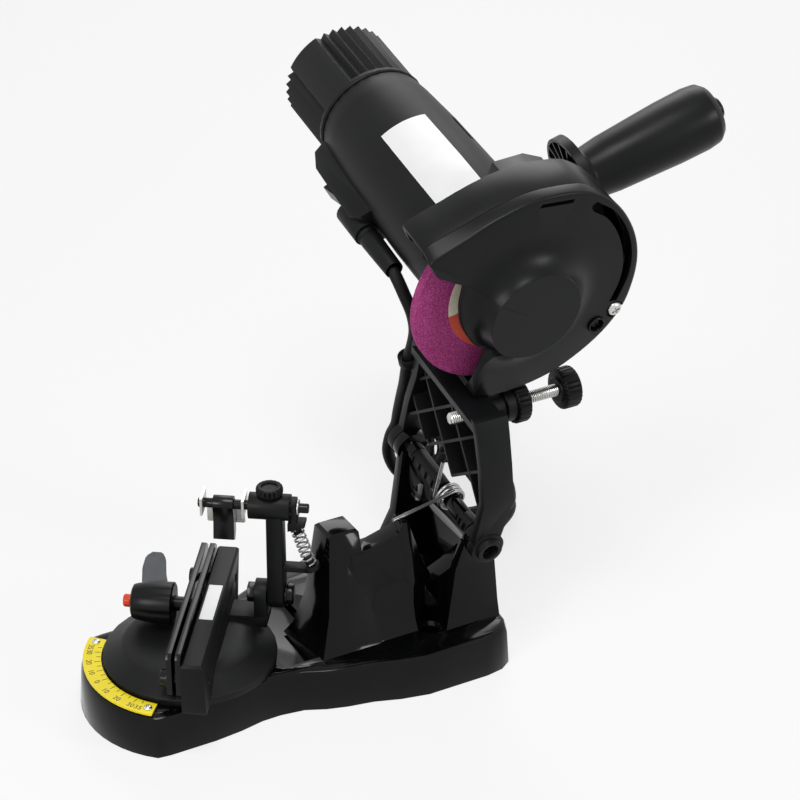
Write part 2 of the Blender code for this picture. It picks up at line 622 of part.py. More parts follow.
def ladder_bush(name, start, end, slots, parent, finish):
    length = end - start
    middle = (start + end) / 2.0
    outer = 0.0047
    bush = turned(name, [(outer, length / 2.0), (outer, -length / 2.0), (pin_radius + clearance, -length / 2.0),
                         (pin_radius + clearance, length / 2.0)], finish, parent, (middle, 0.0, 0.0), along_x,
                  closed=True, steps=24)
    pitch = length / slots
    for index in range(slots):
        spot = start + pitch * (index + 0.5)
        for side in (-1.0, 1.0):
            cut(bush, block("ladder_slot", (pitch * 0.62, 0.0030, 0.0056), (spot, side * 0.0052, 0.0), finish,
                            parent))
    return bush


ladder_bush("spring_bush", -0.0270, -0.0010, 4, swing_frame, matte_black)
ladder_bush("hinge_bush", 0.0215, 0.0296, 2, swing_frame, matte_black)
collar = turned("hinge_sleeve", [(0.0044, 0.0075), (0.0044, -0.0075), (pin_radius + clearance, -0.0075),
                                 (pin_radius + clearance, 0.0075)], gloss_black, swing_frame, (0.0137, 0.0, 0.0),
                along_x, closed=True, steps=28)

# a torsion spring of nearly three curls, one leg in the saddle's seat, the other up against the arm's ribs
spring_radius = 0.0064
spring_wire = 0.0009
spring_curls = 2.75
spring_pitch = 0.0024
spring_start = 0.0016
curl_start = pi
curl_steps = 32
seat_leg = (0.0132, -0.0325, 0.0049)
seat_leg_end = (0.0138, -0.0370, 0.0045)
rib_leg = (0.0012, -0.0050, 0.0140)
rib_leg_end = (0.0010, -0.0042, 0.0215)
spring_points = []
for index in range(curl_steps + 1):
    share = index / curl_steps
    angle = curl_start + 2.0 * pi * spring_curls * share
    spring_points.append((spring_start + spring_pitch * spring_curls * share, spring_radius * cos(angle),
                          spring_radius * sin(angle)))
tube("torsion_spring", [rib_leg_end, rib_leg] + spring_points + [seat_leg, seat_leg_end], spring_wire, spring_steel,
     swing_frame)
print("torsion spring: least gap between curls", round((spring_pitch - 2.0 * spring_wire) * 1000.0, 3), "mm")

# Arm: two cheeks outside the column walls, a web behind and a lattice of ribs at 45 degrees
cheek_inner = column_outer + 0.0006
cheek_outer = 0.0440
near_rows = [(0.0040, cheek_inner, cheek_outer, -0.0080, 0.0066), (0.0290, cheek_inner, cheek_outer, -0.0062, 0.0108),
             (0.0500, 0.0358, 0.0402, -0.0082, 0.0086), (0.0660, 0.0300, 0.0344, -0.0094, 0.0080),
             (0.0735, 0.0262, 0.0306, -0.0100, 0.0080)]
far_rows = [(0.0040, -cheek_outer, -cheek_inner, -0.0040, 0.0066), (0.0290, -0.0420, -0.0376, -0.0040, 0.0100),
            (0.0500, -0.0368, -0.0324, -0.0050, 0.0086), (0.0735, -0.0330, -0.0286, -0.0070, 0.0080)]
web_rows = [(0.0160, -0.0420, 0.0420, 0.0050, 0.0082), (0.0290, -0.0400, 0.0410, 0.0056, 0.0088),
            (0.0500, -0.0350, 0.0380, 0.0048, 0.0080), (0.0700, -0.0310, 0.0290, 0.0040, 0.0072)]


def strut(name, rows, finish, parent):
    sections = [[(left, front, up), (right, front, up), (right, rear, up), (left, rear, up)]
                for up, left, right, front, rear in rows]
    return loft(name, sections, finish, parent)


arm = strut("arm", web_rows, matte_black, swing_frame)
join(arm, strut("near_cheek", near_rows, matte_black, swing_frame),
     strut("far_cheek", far_rows, matte_black, swing_frame))
for side in (-1.0, 1.0):
    eye = rod("hinge_eye", 0.0088, cheek_outer - cheek_inner + 0.0006,
              (side * (cheek_outer + cheek_inner + 0.0006) / 2.0, 0.0, 0.0), matte_black, swing_frame, along_x,
              sides=32)
    join(arm, eye)
near_boss = rod("near_boss", 0.0066, 0.0040, (0.0452, 0.0, 0.0), matte_black, swing_frame, along_x, sides=28)
join(arm, near_boss)

# crown under the wheel and shoulder that carries the motor
crown = strut("crown", [(0.0655, -0.0345, 0.0335, -0.0085, 0.0075), (0.0705, -0.0335, 0.0315, -0.0095, 0.0078)],
              matte_black, swing_frame)
shoulder = strut("shoulder", [(0.0640, -0.0360, -0.0160, -0.0080, 0.0100), (0.0780, -0.0400, -0.0152, -0.0060, 0.0270),
                              (0.1060, -0.0420, -0.0152, 0.0000, 0.0370)], matte_black, swing_frame)
join(arm, crown, shoulder)


def clip_line(start, direction, left_edge, right_edge, low, high):
    spans = []
    steps = 400
    reach = 0.060
    for index in range(-steps, steps + 1):
        along = reach * index / steps
        across = start[0] + direction[0] * along
        up = start[1] + direction[1] * along
        if low < up < high and left_edge(up) < across < right_edge(up):
            spans.append(along)
    return spans[0], spans[-1]


def between(rows, column, up):
    for lower, upper in zip(rows, rows[1:]):
        if up <= upper[0] or upper is rows[-1]:
            share = (up - lower[0]) / (upper[0] - lower[0])
            return lower[column] + (upper[column] - lower[column]) * share
    return rows[-1][column]


rib_thickness = 0.0015
rib_depth = 0.0085
rib_front = -0.0026
for direction, offsets in (((0.7071, 0.7071), (0.0070, 0.0240, 0.0410, 0.0570)),
                           ((0.7071, -0.7071), (-0.0020, 0.0180, 0.0380))):
    normal = (-direction[1], direction[0]) if direction[1] > 0.0 else (0.7071, 0.7071)
    for offset in offsets:
        start = (normal[0] * offset, normal[1] * offset)
        low, high = clip_line(start, direction, lambda up: between(far_rows, 2, up) - 0.001,
                              lambda up: between(near_rows, 1, up) + 0.001, 0.0175, 0.0670)
        middle = ((low + high) / 2.0 * direction[0] + start[0], rib_front + rib_depth / 2.0,
                  (low + high) / 2.0 * direction[1] + start[1])
        tilt = atan2(-direction[1], direction[0])
        join(arm, block("lattice_rib", (high - low, rib_depth, rib_thickness), middle, matte_black, swing_frame,
                        (0.0, tilt, 0.0)))

# depth screw boss through the web
screw_n = 0.0080
screw_u = 0.0576
join(arm, rod("depth_boss", 0.0075, 0.0160, (screw_n, 0.0125, screw_u), matte_black, swing_frame, along_y, sides=28))
screw_radius = 0.0040
cut(arm, rod("depth_bore", screw_radius + clearance, 0.090, (screw_n, 0.0100, screw_u), matte_black, swing_frame,
             along_y, sides=28),
    rod("near_recess", 0.0044, 0.0100, (0.0486, 0.0, 0.0), matte_black, swing_frame, along_x, sides=28),
    rod("eye_bore", pin_radius + clearance, 0.140, (0.0, 0.0, 0.0), matte_black, swing_frame, along_x, sides=24))

# Depth screw with its outer knob, and the locking knob between
tip = -0.0185
depth_screw = turned("depth_screw", [(0.0, 0.0460), (screw_radius, 0.0460), (screw_radius, tip + 0.0006),
                                     (screw_radius - 0.0007, tip), (0.0, tip)], zinc_steel, swing_frame,
                     (screw_n, 0.0, screw_u), along_y, steps=24)


def knurled(name, radius, length, lobes, bore, start, finish, parent, location, rotation, depth=0.0007):
    rim = []
    for index in range(lobes * 2):
        angle = pi * index / lobes
        reach = radius if index % 2 == 0 else radius - depth
        rim.append((reach * cos(angle), reach * sin(angle)))
    knob = plate(name, rim, length, finish, parent, location, rotation)
    if bore > 0.0:
        cut(knob, rod(name + "_bore", bore, length * 3.0, location, finish, parent,
                      along_y if rotation == front_plane else along_z, sides=20))
    return knob


lock_knob = knurled("lock_knob", 0.0126, 0.0115, 22, screw_radius + clearance, 0.0, matte_black, swing_frame,
                    (screw_n, 0.0266, screw_u), front_plane)
depth_knob = knurled("depth_knob", 0.0142, 0.0165, 22, screw_radius + clearance, 0.0, matte_black, swing_frame,
                     (screw_n, 0.0548, screw_u), front_plane)
knob_cap = rod("knob_cap", 0.0105, 0.0030, (screw_n, 0.0640, screw_u), matte_black, swing_frame, along_y, sides=22)
join(depth_knob, knob_cap)

# Motor
motor_frame = frame("motor_frame", (0.0, wheel_behind_hinge, wheel_above_hinge), parent=swing_frame)
housing = turned("motor_housing", [(0.0100, -0.0155), (0.0310, -0.0155), (0.0325, -0.0168), (0.0328, -0.0600),
                                   (0.0318, -0.1000), (0.0300, -0.1280), (0.0286, -0.1396), (0.0262, -0.1396),
                                   (0.0285, -0.1000),
                                   (0.0295, -0.0600), (0.0295, -0.0200), (0.0120, -0.0200), (0.0120, -0.0240),
                                   (0.0100, -0.0240)],
                 matte_black, motor_frame, rotation=along_x, steps=32, closed=True)
lug_direction = (0.0, -0.85, -0.53)
lug_angle = atan2(lug_direction[2], lug_direction[1])
lug = loft("switch_lug", [[(-0.1394, 0.026, -0.0100), (-0.1394, 0.026, 0.0100), (-0.0800, 0.026, 0.0120),
                           (-0.0800, 0.026, -0.0120)],
                          [(-0.1376, 0.0340, -0.0090), (-0.1376, 0.0340, 0.0090), (-0.0820, 0.0360, 0.0110),
                           (-0.0820, 0.0360, -0.0110)],
                          [(-0.1300, 0.0385, -0.0070), (-0.1300, 0.0385, 0.0070), (-0.0900, 0.0405, 0.0085),
                           (-0.0900, 0.0405, -0.0085)]],
           matte_black, motor_frame, rotation=(lug_angle, 0.0, 0.0))
join(housing, lug)
cut(housing, rod("housing_core", 0.0262, 0.1210, (-0.0805, 0.0, 0.0), matte_black, motor_frame, along_x, sides=40))
vent = block("vent_slot", (0.0190, 0.0030, 0.0200), (-0.0885, 0.0205, 0.0270), matte_black, motor_frame,
             (radians(-38.0), 0.0, 0.0))
cut(housing, vent)

fin_count = 36
fin_root = 0.0262
fin_tip = 0.0288
smooth_start = radians(25.0)
smooth_end = radians(73.0)
fin_outline = []
for index in range(fin_count * 2):
    angle = pi * index / fin_count
    from_up = (angle - pi / 2.0) % (2.0 * pi)
    smooth = smooth_start < from_up < smooth_end
    reach = fin_tip if smooth or index % 2 == 0 else fin_root
    fin_outline.append((reach * cos(angle), reach * sin(angle)))
rear_cover = plate("rear_cover", fin_outline, 0.0400, matte_black, motor_frame, (-0.1622, 0.0, 0.0), side_plane)
collar_rear = turned("rear_collar", [(0.0, -0.1400), (0.0290, -0.1400), (0.0294, -0.1412), (0.0286, -0.1440),
                                     (0.0, -0.1440)], matte_black, motor_frame,
                     rotation=along_x, steps=28)
join(rear_cover, collar_rear)
cut(rear_cover, rod("rear_core", 0.0235, 0.0420, (-0.1580, 0.0, 0.0), matte_black, motor_frame, along_x, sides=28))

stator = turned("stator", [(0.0258, -0.0550), (0.0258, -0.1050), (0.0248, -0.1052), (0.0230, -0.1150),
                           (0.0190, -0.1150), (0.0180, -0.1050), (0.0180, -0.0550), (0.0190, -0.0450),
                           (0.0230, -0.0450), (0.0248, -0.0548)], copper, motor_frame, rotation=along_x, steps=28,
                closed=True)
shaft_radius = 0.0040
rotor = turned("rotor", [(0.0, 0.0135), (shaft_radius - 0.0005, 0.0135), (shaft_radius, 0.0130),
                         (shaft_radius, -0.0480), (0.0130, -0.0500), (0.0170, -0.0560), (0.0170, -0.1040),
                         (0.0130, -0.1120), (0.0090, -0.1130), (0.0090, -0.1260), (shaft_radius, -0.1270),
                         (shaft_radius, -0.1700), (0.0, -0.1700)], bright_steel, motor_frame, rotation=along_x,
               steps=24)
for name, middle in (("front_bearing", -0.0225), ("rear_bearing", -0.1640)):
    outer_race = 0.0096 if name == "front_bearing" else 0.0092
    turned(name, [(outer_race, 0.0030), (outer_race, -0.0030), (shaft_radius + clearance, -0.0030),
                  (shaft_radius + clearance, 0.0030)], bright_steel, motor_frame, (middle, 0.0, 0.0), along_x,
           closed=True, steps=32)
rear_carrier = turned("rear_carrier", [(0.0245, -0.1600), (0.0245, -0.1680), (0.0095, -0.1680),
                                       (0.0095, -0.1600)], matte_black, motor_frame, rotation=along_x, closed=True,
                      steps=40)
join(rear_cover, rear_carrier)

# Grinding wheel on its flanges
half = wheel_thickness / 2.0
wheel = turned("grinding_wheel", [(wheel_radius, half), (wheel_radius, -half), (wheel_bore / 2.0, -half),
                                  (wheel_bore / 2.0, half)], pink_stone, motor_frame,
               rotation=along_x, closed=True, steps=64)
turned("inner_flange", [(0.0105, half + 0.0), (0.0105, -half - clearance), (0.0170, -half - clearance),
                        (0.0170, -0.0062), (0.0080, -0.0110), (shaft_radius + clearance, -0.0110),
                        (shaft_radius + clearance, half)], bright_steel, motor_frame, rotation=along_x, closed=True,
       steps=28)
turned("outer_flange", [(shaft_radius + clearance, 0.0068), (0.0150, 0.0058), (0.0170, 0.0048),
                        (0.0170, half + clearance), (shaft_radius + clearance, half + clearance)], bright_steel,
       motor_frame, rotation=along_x, closed=True, steps=28)
wheel_nut = plate("wheel_nut", hexagon(0.0078), 0.0050, zinc_steel, motor_frame, (0.0096, 0.0, 0.0), side_plane)
cut(wheel_nut, rod("wheel_nut_hole", shaft_radius + clearance, 0.030, (0.0096, 0.0, 0.0), zinc_steel, motor_frame,
                   along_x))

# Guard round the wheel: backed band and front cover with a raised cap, open on the left
guard_points = [(-0.0550, 0.0390), (-0.0530, 0.0425), (-0.0370, 0.0490), (-0.0220, 0.0552), (-0.0020, 0.0602),
                (0.0210, 0.0590), (0.0320, 0.0545), (0.0450, 0.0440), (0.0550, 0.0290), (0.0600, 0.0140),
                (0.0612, -0.0020), (0.0575, -0.0200), (0.0460, -0.0365), (0.0260, -0.0505), (0.0050, -0.0562),
                (-0.0120, -0.0560), (-0.0200, -0.0525)]
window_points = [(-0.0215, -0.0440), (-0.0200, -0.0290), (-0.0230, -0.0190), (-0.0310, -0.0110),
                 (-0.0365, 0.0010), (-0.0372, 0.0170), (-0.0410, 0.0230), (-0.0520, 0.0330)]
guard_edge = [point[:2] for point in smooth_line([(*point, 0.0) for point in guard_points], 2)]
window_edge = [point[:2] for point in smooth_line([(*point, 0.0) for point in window_points], 2)]
guard_loop = guard_edge + window_edge
guard_wall = 0.0026


def facing(loop, across):
    return [(across, along, up) for along, up in loop]


def drawn_in(points, distance, eased=0):
    moved = []
    last = len(points) - 1
    for index, (along, up) in enumerate(points):
        before = Vector(points[max(index - 1, 0)])
        after = Vector(points[min(index + 1, last)])
        side = Vector((-(after - before).y, (after - before).x)).normalized()
        ease = min(1.0, index / eased, (last - index) / eased) if eased else 1.0
        moved.append((along - side.x * distance * ease, up - side.y * distance * ease))
    return moved


guard_inner = drawn_in(guard_edge, guard_wall)
guard_back = plate("guard_back", guard_edge + window_edge, 0.0026, matte_black, motor_frame, (-0.0132, 0.0, 0.0),
                   side_plane)
band = plate("guard_band", guard_edge + list(reversed(guard_inner)), 0.0180, matte_black, motor_frame,
             (-0.0036, 0.0, 0.0), side_plane)
join(guard_back, band)
cut(guard_back, rod("guard_hole", 0.0190, 0.030, (-0.0132, 0.0, 0.0), matte_black, motor_frame, along_x, sides=36))
cover_loops = [(0.0057, 0.0), (0.0095, 0.0008), (0.0122, 0.0034), (0.0134, 0.0070)]
cover_sections = []
for across, step in cover_loops:
    drawn = drawn_in(guard_edge, step, 4)
    cover_sections.append(facing(drawn + window_edge, across))
guard_cover = loft("guard_cover", cover_sections, matte_black, motor_frame)
hollow_window = [(along + 0.0026, up) for along, up in window_edge]
cover_hollow = loft("cover_hollow", [facing(drawn_in(guard_edge, 0.0026)[3:-3] + hollow_window[1:-1], across)
                                     for across in (0.0045, 0.0108)], matte_black, motor_frame)
cap = turned("guard_cap", [(0.0, 0.0250), (0.0205, 0.0250), (0.0232, 0.0240), (0.0262, 0.0205), (0.0300, 0.0160),
                           (0.0350, 0.0120), (0.0, 0.0120)], matte_black, motor_frame, rotation=along_x, steps=36)
cap_hollow = turned("cap_hollow", [(0.0, 0.0225), (0.0195, 0.0225), (0.0225, 0.0190), (0.0250, 0.0030),
                                   (0.0, 0.0030)], matte_black, motor_frame, rotation=along_x, steps=32)
cut(guard_cover, cover_hollow)
join(guard_cover, cap)
cut(guard_cover, cap_hollow)

# Slot beside the hub, cover screws
groove_points = [(0.0300, 0.0500), (0.0410, 0.0390), (0.0470, 0.0210), (0.0490, 0.0020), (0.0455, -0.0140)]
groove_line = [point[:2] for point in smooth_line([(*point, 0.0) for point in groove_points], 3)]
groove = plate("guard_groove", groove_line + list(reversed(drawn_in(groove_line, 0.0018))), 0.0040, matte_black,
               motor_frame, (0.0140, 0.0, 0.0), side_plane)
cut(guard_cover, groove)
screw_seats = (("guard_screw_1", 0.0535, -0.0195), ("guard_screw_2", -0.0100, 0.0552))
for name, along, up in screw_seats:
    bolt(name, 0.0036, 0.0026, 0.0017, 0.0100, zinc_steel, motor_frame, (0.0137, along, up), along_x)
    post = rod("screw_post", 0.0030, 0.0180, (-0.0036, along, up), matte_black, motor_frame, along_x,
               sides=20)
    join(guard_back, post)
    cut(guard_back, rod("screw_bore", 0.0017 + clearance, 0.0130, (0.0080, along, up), matte_black, motor_frame,
                        along_x, sides=16))
    cut(guard_cover, rod("cover_bore", 0.0017 + clearance, 0.040, (0.0120, along, up), matte_black, motor_frame,
                         along_x, sides=16),
        rod("cover_seat", 0.0046, 0.0100, (0.0184, along, up), matte_black, motor_frame, along_x, sides=20))

# Handle with its ribbed hand disc, on a stud in a boss that stands out from the motor
handle_n = -0.0410
handle_reach = 0.0590
handle_tilt = radians(17.6)
handle_start = (handle_n, handle_reach * cos(handle_tilt), handle_reach * sin(handle_tilt))
handle_frame = frame("handle_frame", handle_start, (radians(-90.0) + handle_tilt, 0.0, 0.0), motor_frame)
stud_radius = 0.0030
handle = turned("handle_grip", [(0.0, 0.0835), (0.0046, 0.0835), (0.0056, 0.0825), (0.0058, 0.0802), (0.0128, 0.0790),
                                (0.0158, 0.0755), (0.0166, 0.0690), (0.0164, 0.0530), (0.0146, 0.0190),
                                (0.0132, 0.0078), (0.0150, 0.0052), (0.0222, 0.0042), (0.0232, 0.0030),
                                (0.0228, 0.0012), (0.0150, 0.0010), (0.0120, 0.0), (0.0, 0.0)],
                matte_black, handle_frame, steps=26)
cut(handle, rod("handle_bore", stud_radius + clearance, 0.0700, (0.0, 0.0, 0.0), matte_black, handle_frame))
rod("handle_stud", stud_radius, 0.0460, (0.0, 0.0, 0.0090), zinc_steel, handle_frame, chamfer=0.0006)
handle_boss = rod("handle_boss", 0.0130, 0.0300, (0.0, 0.0, -0.0153), matte_black, handle_frame, end_radius=0.0115)
join(housing, handle_boss)
cut(housing, rod("stud_bore", stud_radius + clearance, 0.0400, (0.0, 0.0, -0.0010), matte_black, handle_frame))
lug_outline = [(-0.0060, 0.0470), (-0.0040, 0.0560), (0.0120, 0.0570), (0.0230, 0.0520), (0.0260, 0.0440),
               (0.0120, 0.0420)]
join(guard_back, plate("guard_lug", lug_outline, 0.0120, matte_black, motor_frame, (-0.0190, 0.0, 0.0), side_plane))
cut(arm, rod("motor_bed", 0.0332, 0.0600, (-0.0440, 0.0, 0.0), matte_black, motor_frame, along_x, sides=40))

# Rocker switch in the lug's outer face
lug_frame = frame("lug_frame", (0.0, 0.0, 0.0), (lug_angle, 0.0, 0.0), motor_frame)
rocker_spot = (-0.1100, 0.0385, 0.0)
cut(housing, block("rocker_pocket", (0.0188, 0.0070, 0.0108), rocker_spot, matte_black, lug_frame))
plate("switch_rocker", [(-0.0088, 0.0026), (-0.0088, -0.0022), (0.0088, -0.0022), (0.0088, 0.0010), (0.0, 0.0008)],
      0.0100, red_plastic, lug_frame, (rocker_spot[0], rocker_spot[1] + 0.0002, 0.0))

# Mains lead: tapered relief, run along the arm and down behind the column, spare length folded on the bench
cord_radius = 0.0032
lead_reach = 0.0386
lead_offset = (lug_direction[1] * lead_reach, lug_direction[2] * lead_reach)
relief_start = -0.0800
join(housing, rod("relief_seat", 0.0064, 0.0200, (relief_start - 0.0103, *lead_offset), matte_black, motor_frame,
                  along_x))
cut(housing, rod("relief_bore", cord_radius + clearance, 0.0060, (relief_start, *lead_offset), matte_black,
                 motor_frame, along_x))
turned("strain_relief", [(0.0047, 0.0290), (0.0053, 0.0060), (0.0053, 0.0036), (0.0047, 0.0030), (0.0047, 0.0018),
                         (0.0053, 0.0012), (0.0053, 0.0), (cord_radius + clearance, 0.0),
                         (cord_radius + 0.0010, 0.0290)], matte_black, motor_frame,
       (relief_start, *lead_offset), along_x, steps=24, closed=True)
upper_points = [(-0.0820, wheel_behind_hinge + lead_offset[0], wheel_above_hinge + lead_offset[1]),
                (-0.0660, wheel_behind_hinge + lead_offset[0], wheel_above_hinge + lead_offset[1]),
                (-0.0500, wheel_behind_hinge + lead_offset[0], wheel_above_hinge + lead_offset[1]),
                (-0.0415, -0.0152, 0.1020), (-0.0370, -0.0160, 0.0930), (-0.0365, -0.0158, 0.0830),
                (-0.0400, -0.0130, 0.0710), (-0.0427, -0.0072, 0.0590), (-0.0432, -0.0040, 0.0500), (-0.0452, -0.0022, 0.0360),
                (-0.0495, -0.0015, 0.0220), (-0.0528, -0.0006, 0.0100), (-0.0540, 0.0, 0.0004)]
tube("cord_upper", smooth_line(upper_points, 3), cord_radius, cord_rubber, swing_frame)
clip_spot = (-0.0427, -0.0045, 0.0535)
clip = turned("cable_clip", [(0.0052, 0.0025), (0.0052, -0.0025), (cord_radius + 0.0010, -0.0025),
                             (cord_radius + 0.0010, 0.0025)], matte_black, swing_frame, clip_spot,
              (radians(16.0), 0.0, 0.0), closed=True, steps=24)
join(clip, block("clip_foot", (0.0030, 0.0060, 0.0046), (-0.0375, -0.0020, 0.0535), matte_black, swing_frame))
cut(clip, block("clip_trim", (0.0200, 0.0300, 0.0300), (-0.0269, -0.0020, 0.0535), matte_black, swing_frame,
                (0.0, radians(9.0), 0.0)))

hank_middle = (-0.1297, 0.1082)
hank_along = (-0.8790, 0.4770)
hank_aside = (-0.4770, -0.8790)
hank_run = 0.112
lane_inner = 0.0190
lane_outer = 0.0266
waist_draw = 0.0100
layer_low = 0.0047
layer_high = 0.0118
layer_top = 0.0190


def on_bench(along, aside, height):
    return (hank_middle[0] + along * hank_along[0] + aside * hank_aside[0],
            hank_middle[1] + along * hank_along[1] + aside * hank_aside[1], height)


def run_of(lane, outgoing, low, high, count=6):
    made = []
    for index in range(count):
        share = (index + 0.5) / count
        along = hank_run * (share - 0.5 if outgoing else 0.5 - share)
        drawn = waist_draw * sin(pi * share) ** 2
        aside = lane - drawn if lane > 0.0 else lane + drawn
        made.append(on_bench(along, aside, low + (high - low) * (0.5 - 0.5 * cos(pi * share))))
    return made


def fold_of(start, end, outgoing, height, count=9):
    made = []
    middle = (start + end) / 2.0
    reach = abs(start - end) / 2.0
    for index in range(count):
        angle = pi * (index + 0.5) / count
        along = hank_run / 2.0 + reach * sin(angle)
        made.append(on_bench(along if outgoing else -along, middle + (start - middle) * cos(angle), height))
    return made


hank_points = [on_bench(-0.0660, -lane_outer, layer_low)]
hank_points += run_of(-lane_outer, True, layer_low, layer_low)
hank_points += fold_of(-lane_outer, lane_outer, True, layer_low)
hank_points += run_of(lane_outer, False, layer_low, layer_low)
hank_points += fold_of(lane_outer, -lane_inner, False, layer_low)
hank_points += run_of(-lane_inner, True, layer_low, layer_low)
hank_points += fold_of(-lane_inner, lane_inner, True, layer_low)
hank_points += run_of(lane_inner, False, layer_low, layer_high)
hank_points += fold_of(lane_inner, -lane_inner, False, layer_high)
hank_points += run_of(-lane_inner, True, layer_high, layer_high)
hank_points += fold_of(-lane_inner, lane_outer, True, layer_high)
hank_points += run_of(lane_outer, False, layer_high, layer_high)
hank_points += fold_of(lane_outer, -lane_outer, False, layer_high)
hank_points += run_of(-lane_outer, True, layer_high, layer_top)
hank_points += fold_of(-lane_outer, 0.0130, True, layer_top)
hank_points += [on_bench(0.0520, 0.0128, 0.0200), on_bench(0.0400, 0.0100, 0.0236),
                on_bench(0.0310, 0.0064, 0.0280), on_bench(0.0235, 0.0014, 0.0313), on_bench(0.0160, 0.0, 0.0318)]
tube("cord_hank", hank_points, cord_radius, cord_rubber, bench_frame)
lower_points = [(-0.0527, 0.0255, 0.0862), (-0.0556, 0.0235, 0.0790), (-0.0580, 0.0230, 0.0690),
                (-0.0575, 0.0265, 0.0590), (-0.0540, 0.0345, 0.0500), (-0.0485, 0.0440, 0.0400),
                (-0.0420, 0.0530, 0.0270), (-0.0350, 0.0620, 0.0130), (-0.0320, 0.0720, 0.0060),
                (-0.0365, 0.0850, 0.0048)]
cord_break = clearance + 0.0001
lower_end = on_bench(-0.0660 - cord_break, -lane_outer, layer_low)
tube("cord_lower", smooth_line(lower_points + [lower_end], 3), cord_radius, cord_rubber, bench_frame)


def least_reach(points, apart=5, steps=4):
    fine = []
    for start, end in zip(points, points[1:]):
        fine += [Vector(start).lerp(Vector(end), step / steps) for step in range(steps)]
    least = 1.0
    for index, here in enumerate(fine):
        for there in fine[index + apart * steps:]:
            least = min(least, (here - there).length)
    return least


print("cord hank: least gap between runs", round((least_reach(hank_points) - 2.0 * cord_radius) * 1000.0, 3), "mm")

tie_wall = 0.0010
tie_half = lane_outer - waist_draw * 0.93 + cord_radius + 0.0008
tie_outline = [(-tie_half - tie_wall, 0.0003), (tie_half + tie_wall, 0.0003), (tie_half + tie_wall, 0.0170),
               (-0.0090, 0.0204), (-tie_half - tie_wall, 0.0204)]
tie_hole = [(-tie_half, 0.0013), (tie_half, 0.0013), (tie_half, 0.0158), (-0.0090, 0.0192), (-tie_half, 0.0192)]
bench_turn = atan2(hank_along[1], hank_along[0])
hank_frame = frame("hank_frame", (*hank_middle, 0.0), (0.0, 0.0, bench_turn + pi))
tie = plate("cord_tie", tie_outline, 0.0075, cord_rubber, hank_frame,
            (0.0, 0.0, 0.0), (radians(90.0), 0.0, radians(-90.0)),
            holes=(tie_hole,))

# Two-pin plug lying on the folded lead
plug_height = 0.0318
plug = loft("mains_plug", [[(along, aside * width, plug_height + up * height)
                            for aside, up in ((-1.0, -0.55), (-0.55, -1.0), (0.55, -1.0), (1.0, -0.55), (1.0, 0.55),
                                              (0.55, 1.0), (-0.55, 1.0), (-1.0, 0.55))]
                           for along, width, height in ((-0.0155, 0.0048, 0.0048), (-0.0040, 0.0056, 0.0056),
                                                        (-0.0030, 0.0150, 0.0078), (0.0020, 0.0172, 0.0088),
                                                        (0.0180, 0.0176, 0.0090), (0.0225, 0.0150, 0.0080))],
            matte_black, hank_frame)
for aside in (-0.0095, 0.0095):
    join(plug, rod("plug_pin", 0.0023, 0.0220, (0.0320, aside, plug_height), zinc_steel, hank_frame, along_x,
                   sides=16, chamfer=0.0008))
cut(plug, rod("plug_bore", cord_radius + clearance, 0.0060, (-0.0160, 0.0, plug_height), matte_black, hank_frame,
              along_x, sides=16))
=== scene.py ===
from math import atan2, cos, pi, radians, sin

import bmesh
import bpy
from mathutils import Matrix, Vector


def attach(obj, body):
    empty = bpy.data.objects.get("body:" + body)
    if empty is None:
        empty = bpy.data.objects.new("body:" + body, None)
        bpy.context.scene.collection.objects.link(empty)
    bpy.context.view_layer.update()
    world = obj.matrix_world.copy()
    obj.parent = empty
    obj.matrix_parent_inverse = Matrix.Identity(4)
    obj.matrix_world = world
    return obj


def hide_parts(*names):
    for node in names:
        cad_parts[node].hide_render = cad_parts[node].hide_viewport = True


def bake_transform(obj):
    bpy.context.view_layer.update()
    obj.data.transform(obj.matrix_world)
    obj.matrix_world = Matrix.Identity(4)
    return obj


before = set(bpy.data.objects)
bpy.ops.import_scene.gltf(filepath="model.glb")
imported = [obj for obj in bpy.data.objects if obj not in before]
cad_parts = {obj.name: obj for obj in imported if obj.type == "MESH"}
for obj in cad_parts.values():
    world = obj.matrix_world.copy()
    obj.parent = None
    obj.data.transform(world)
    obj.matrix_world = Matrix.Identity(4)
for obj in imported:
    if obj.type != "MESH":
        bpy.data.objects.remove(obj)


class Sockets:
    # one value of a shader tree, with ordinary arithmetic
    def __init__(self, tree, socket):
        self.tree = tree
        self.socket = socket

    def calculate(self, operation, other=None, reverse=False):
        node = self.tree.nodes.new("ShaderNodeMath")
        node.operation = operation
        values = [self] if other is None else ([other, self] if reverse else [self, other])
        for index, value in enumerate(values):
            if isinstance(value, Sockets):
                self.tree.links.new(value.socket, node.inputs[index])
            else:
                node.inputs[index].default_value = value
        return Sockets(self.tree, node.outputs[0])

    def __add__(self, other):
        return self.calculate("ADD", other)

    def __radd__(self, other):
        return self.calculate("ADD", other, True)

    def __sub__(self, other):
        return self.calculate("SUBTRACT", other)

    def __rsub__(self, other):
        return self.calculate("SUBTRACT", other, True)

    def __mul__(self, other):
        return self.calculate("MULTIPLY", other)

    def __rmul__(self, other):
        return self.calculate("MULTIPLY", other, True)

    def __truediv__(self, other):
        return self.calculate("DIVIDE", other)


camera = {  # where the picture is taken from
    "azimuth": radians(61.49),
    "elevation": radians(29.97),
    "position": (1.0329, -0.5608, 0.8117),
    "lens": 126.0,
    "sensor": 36.0,
}


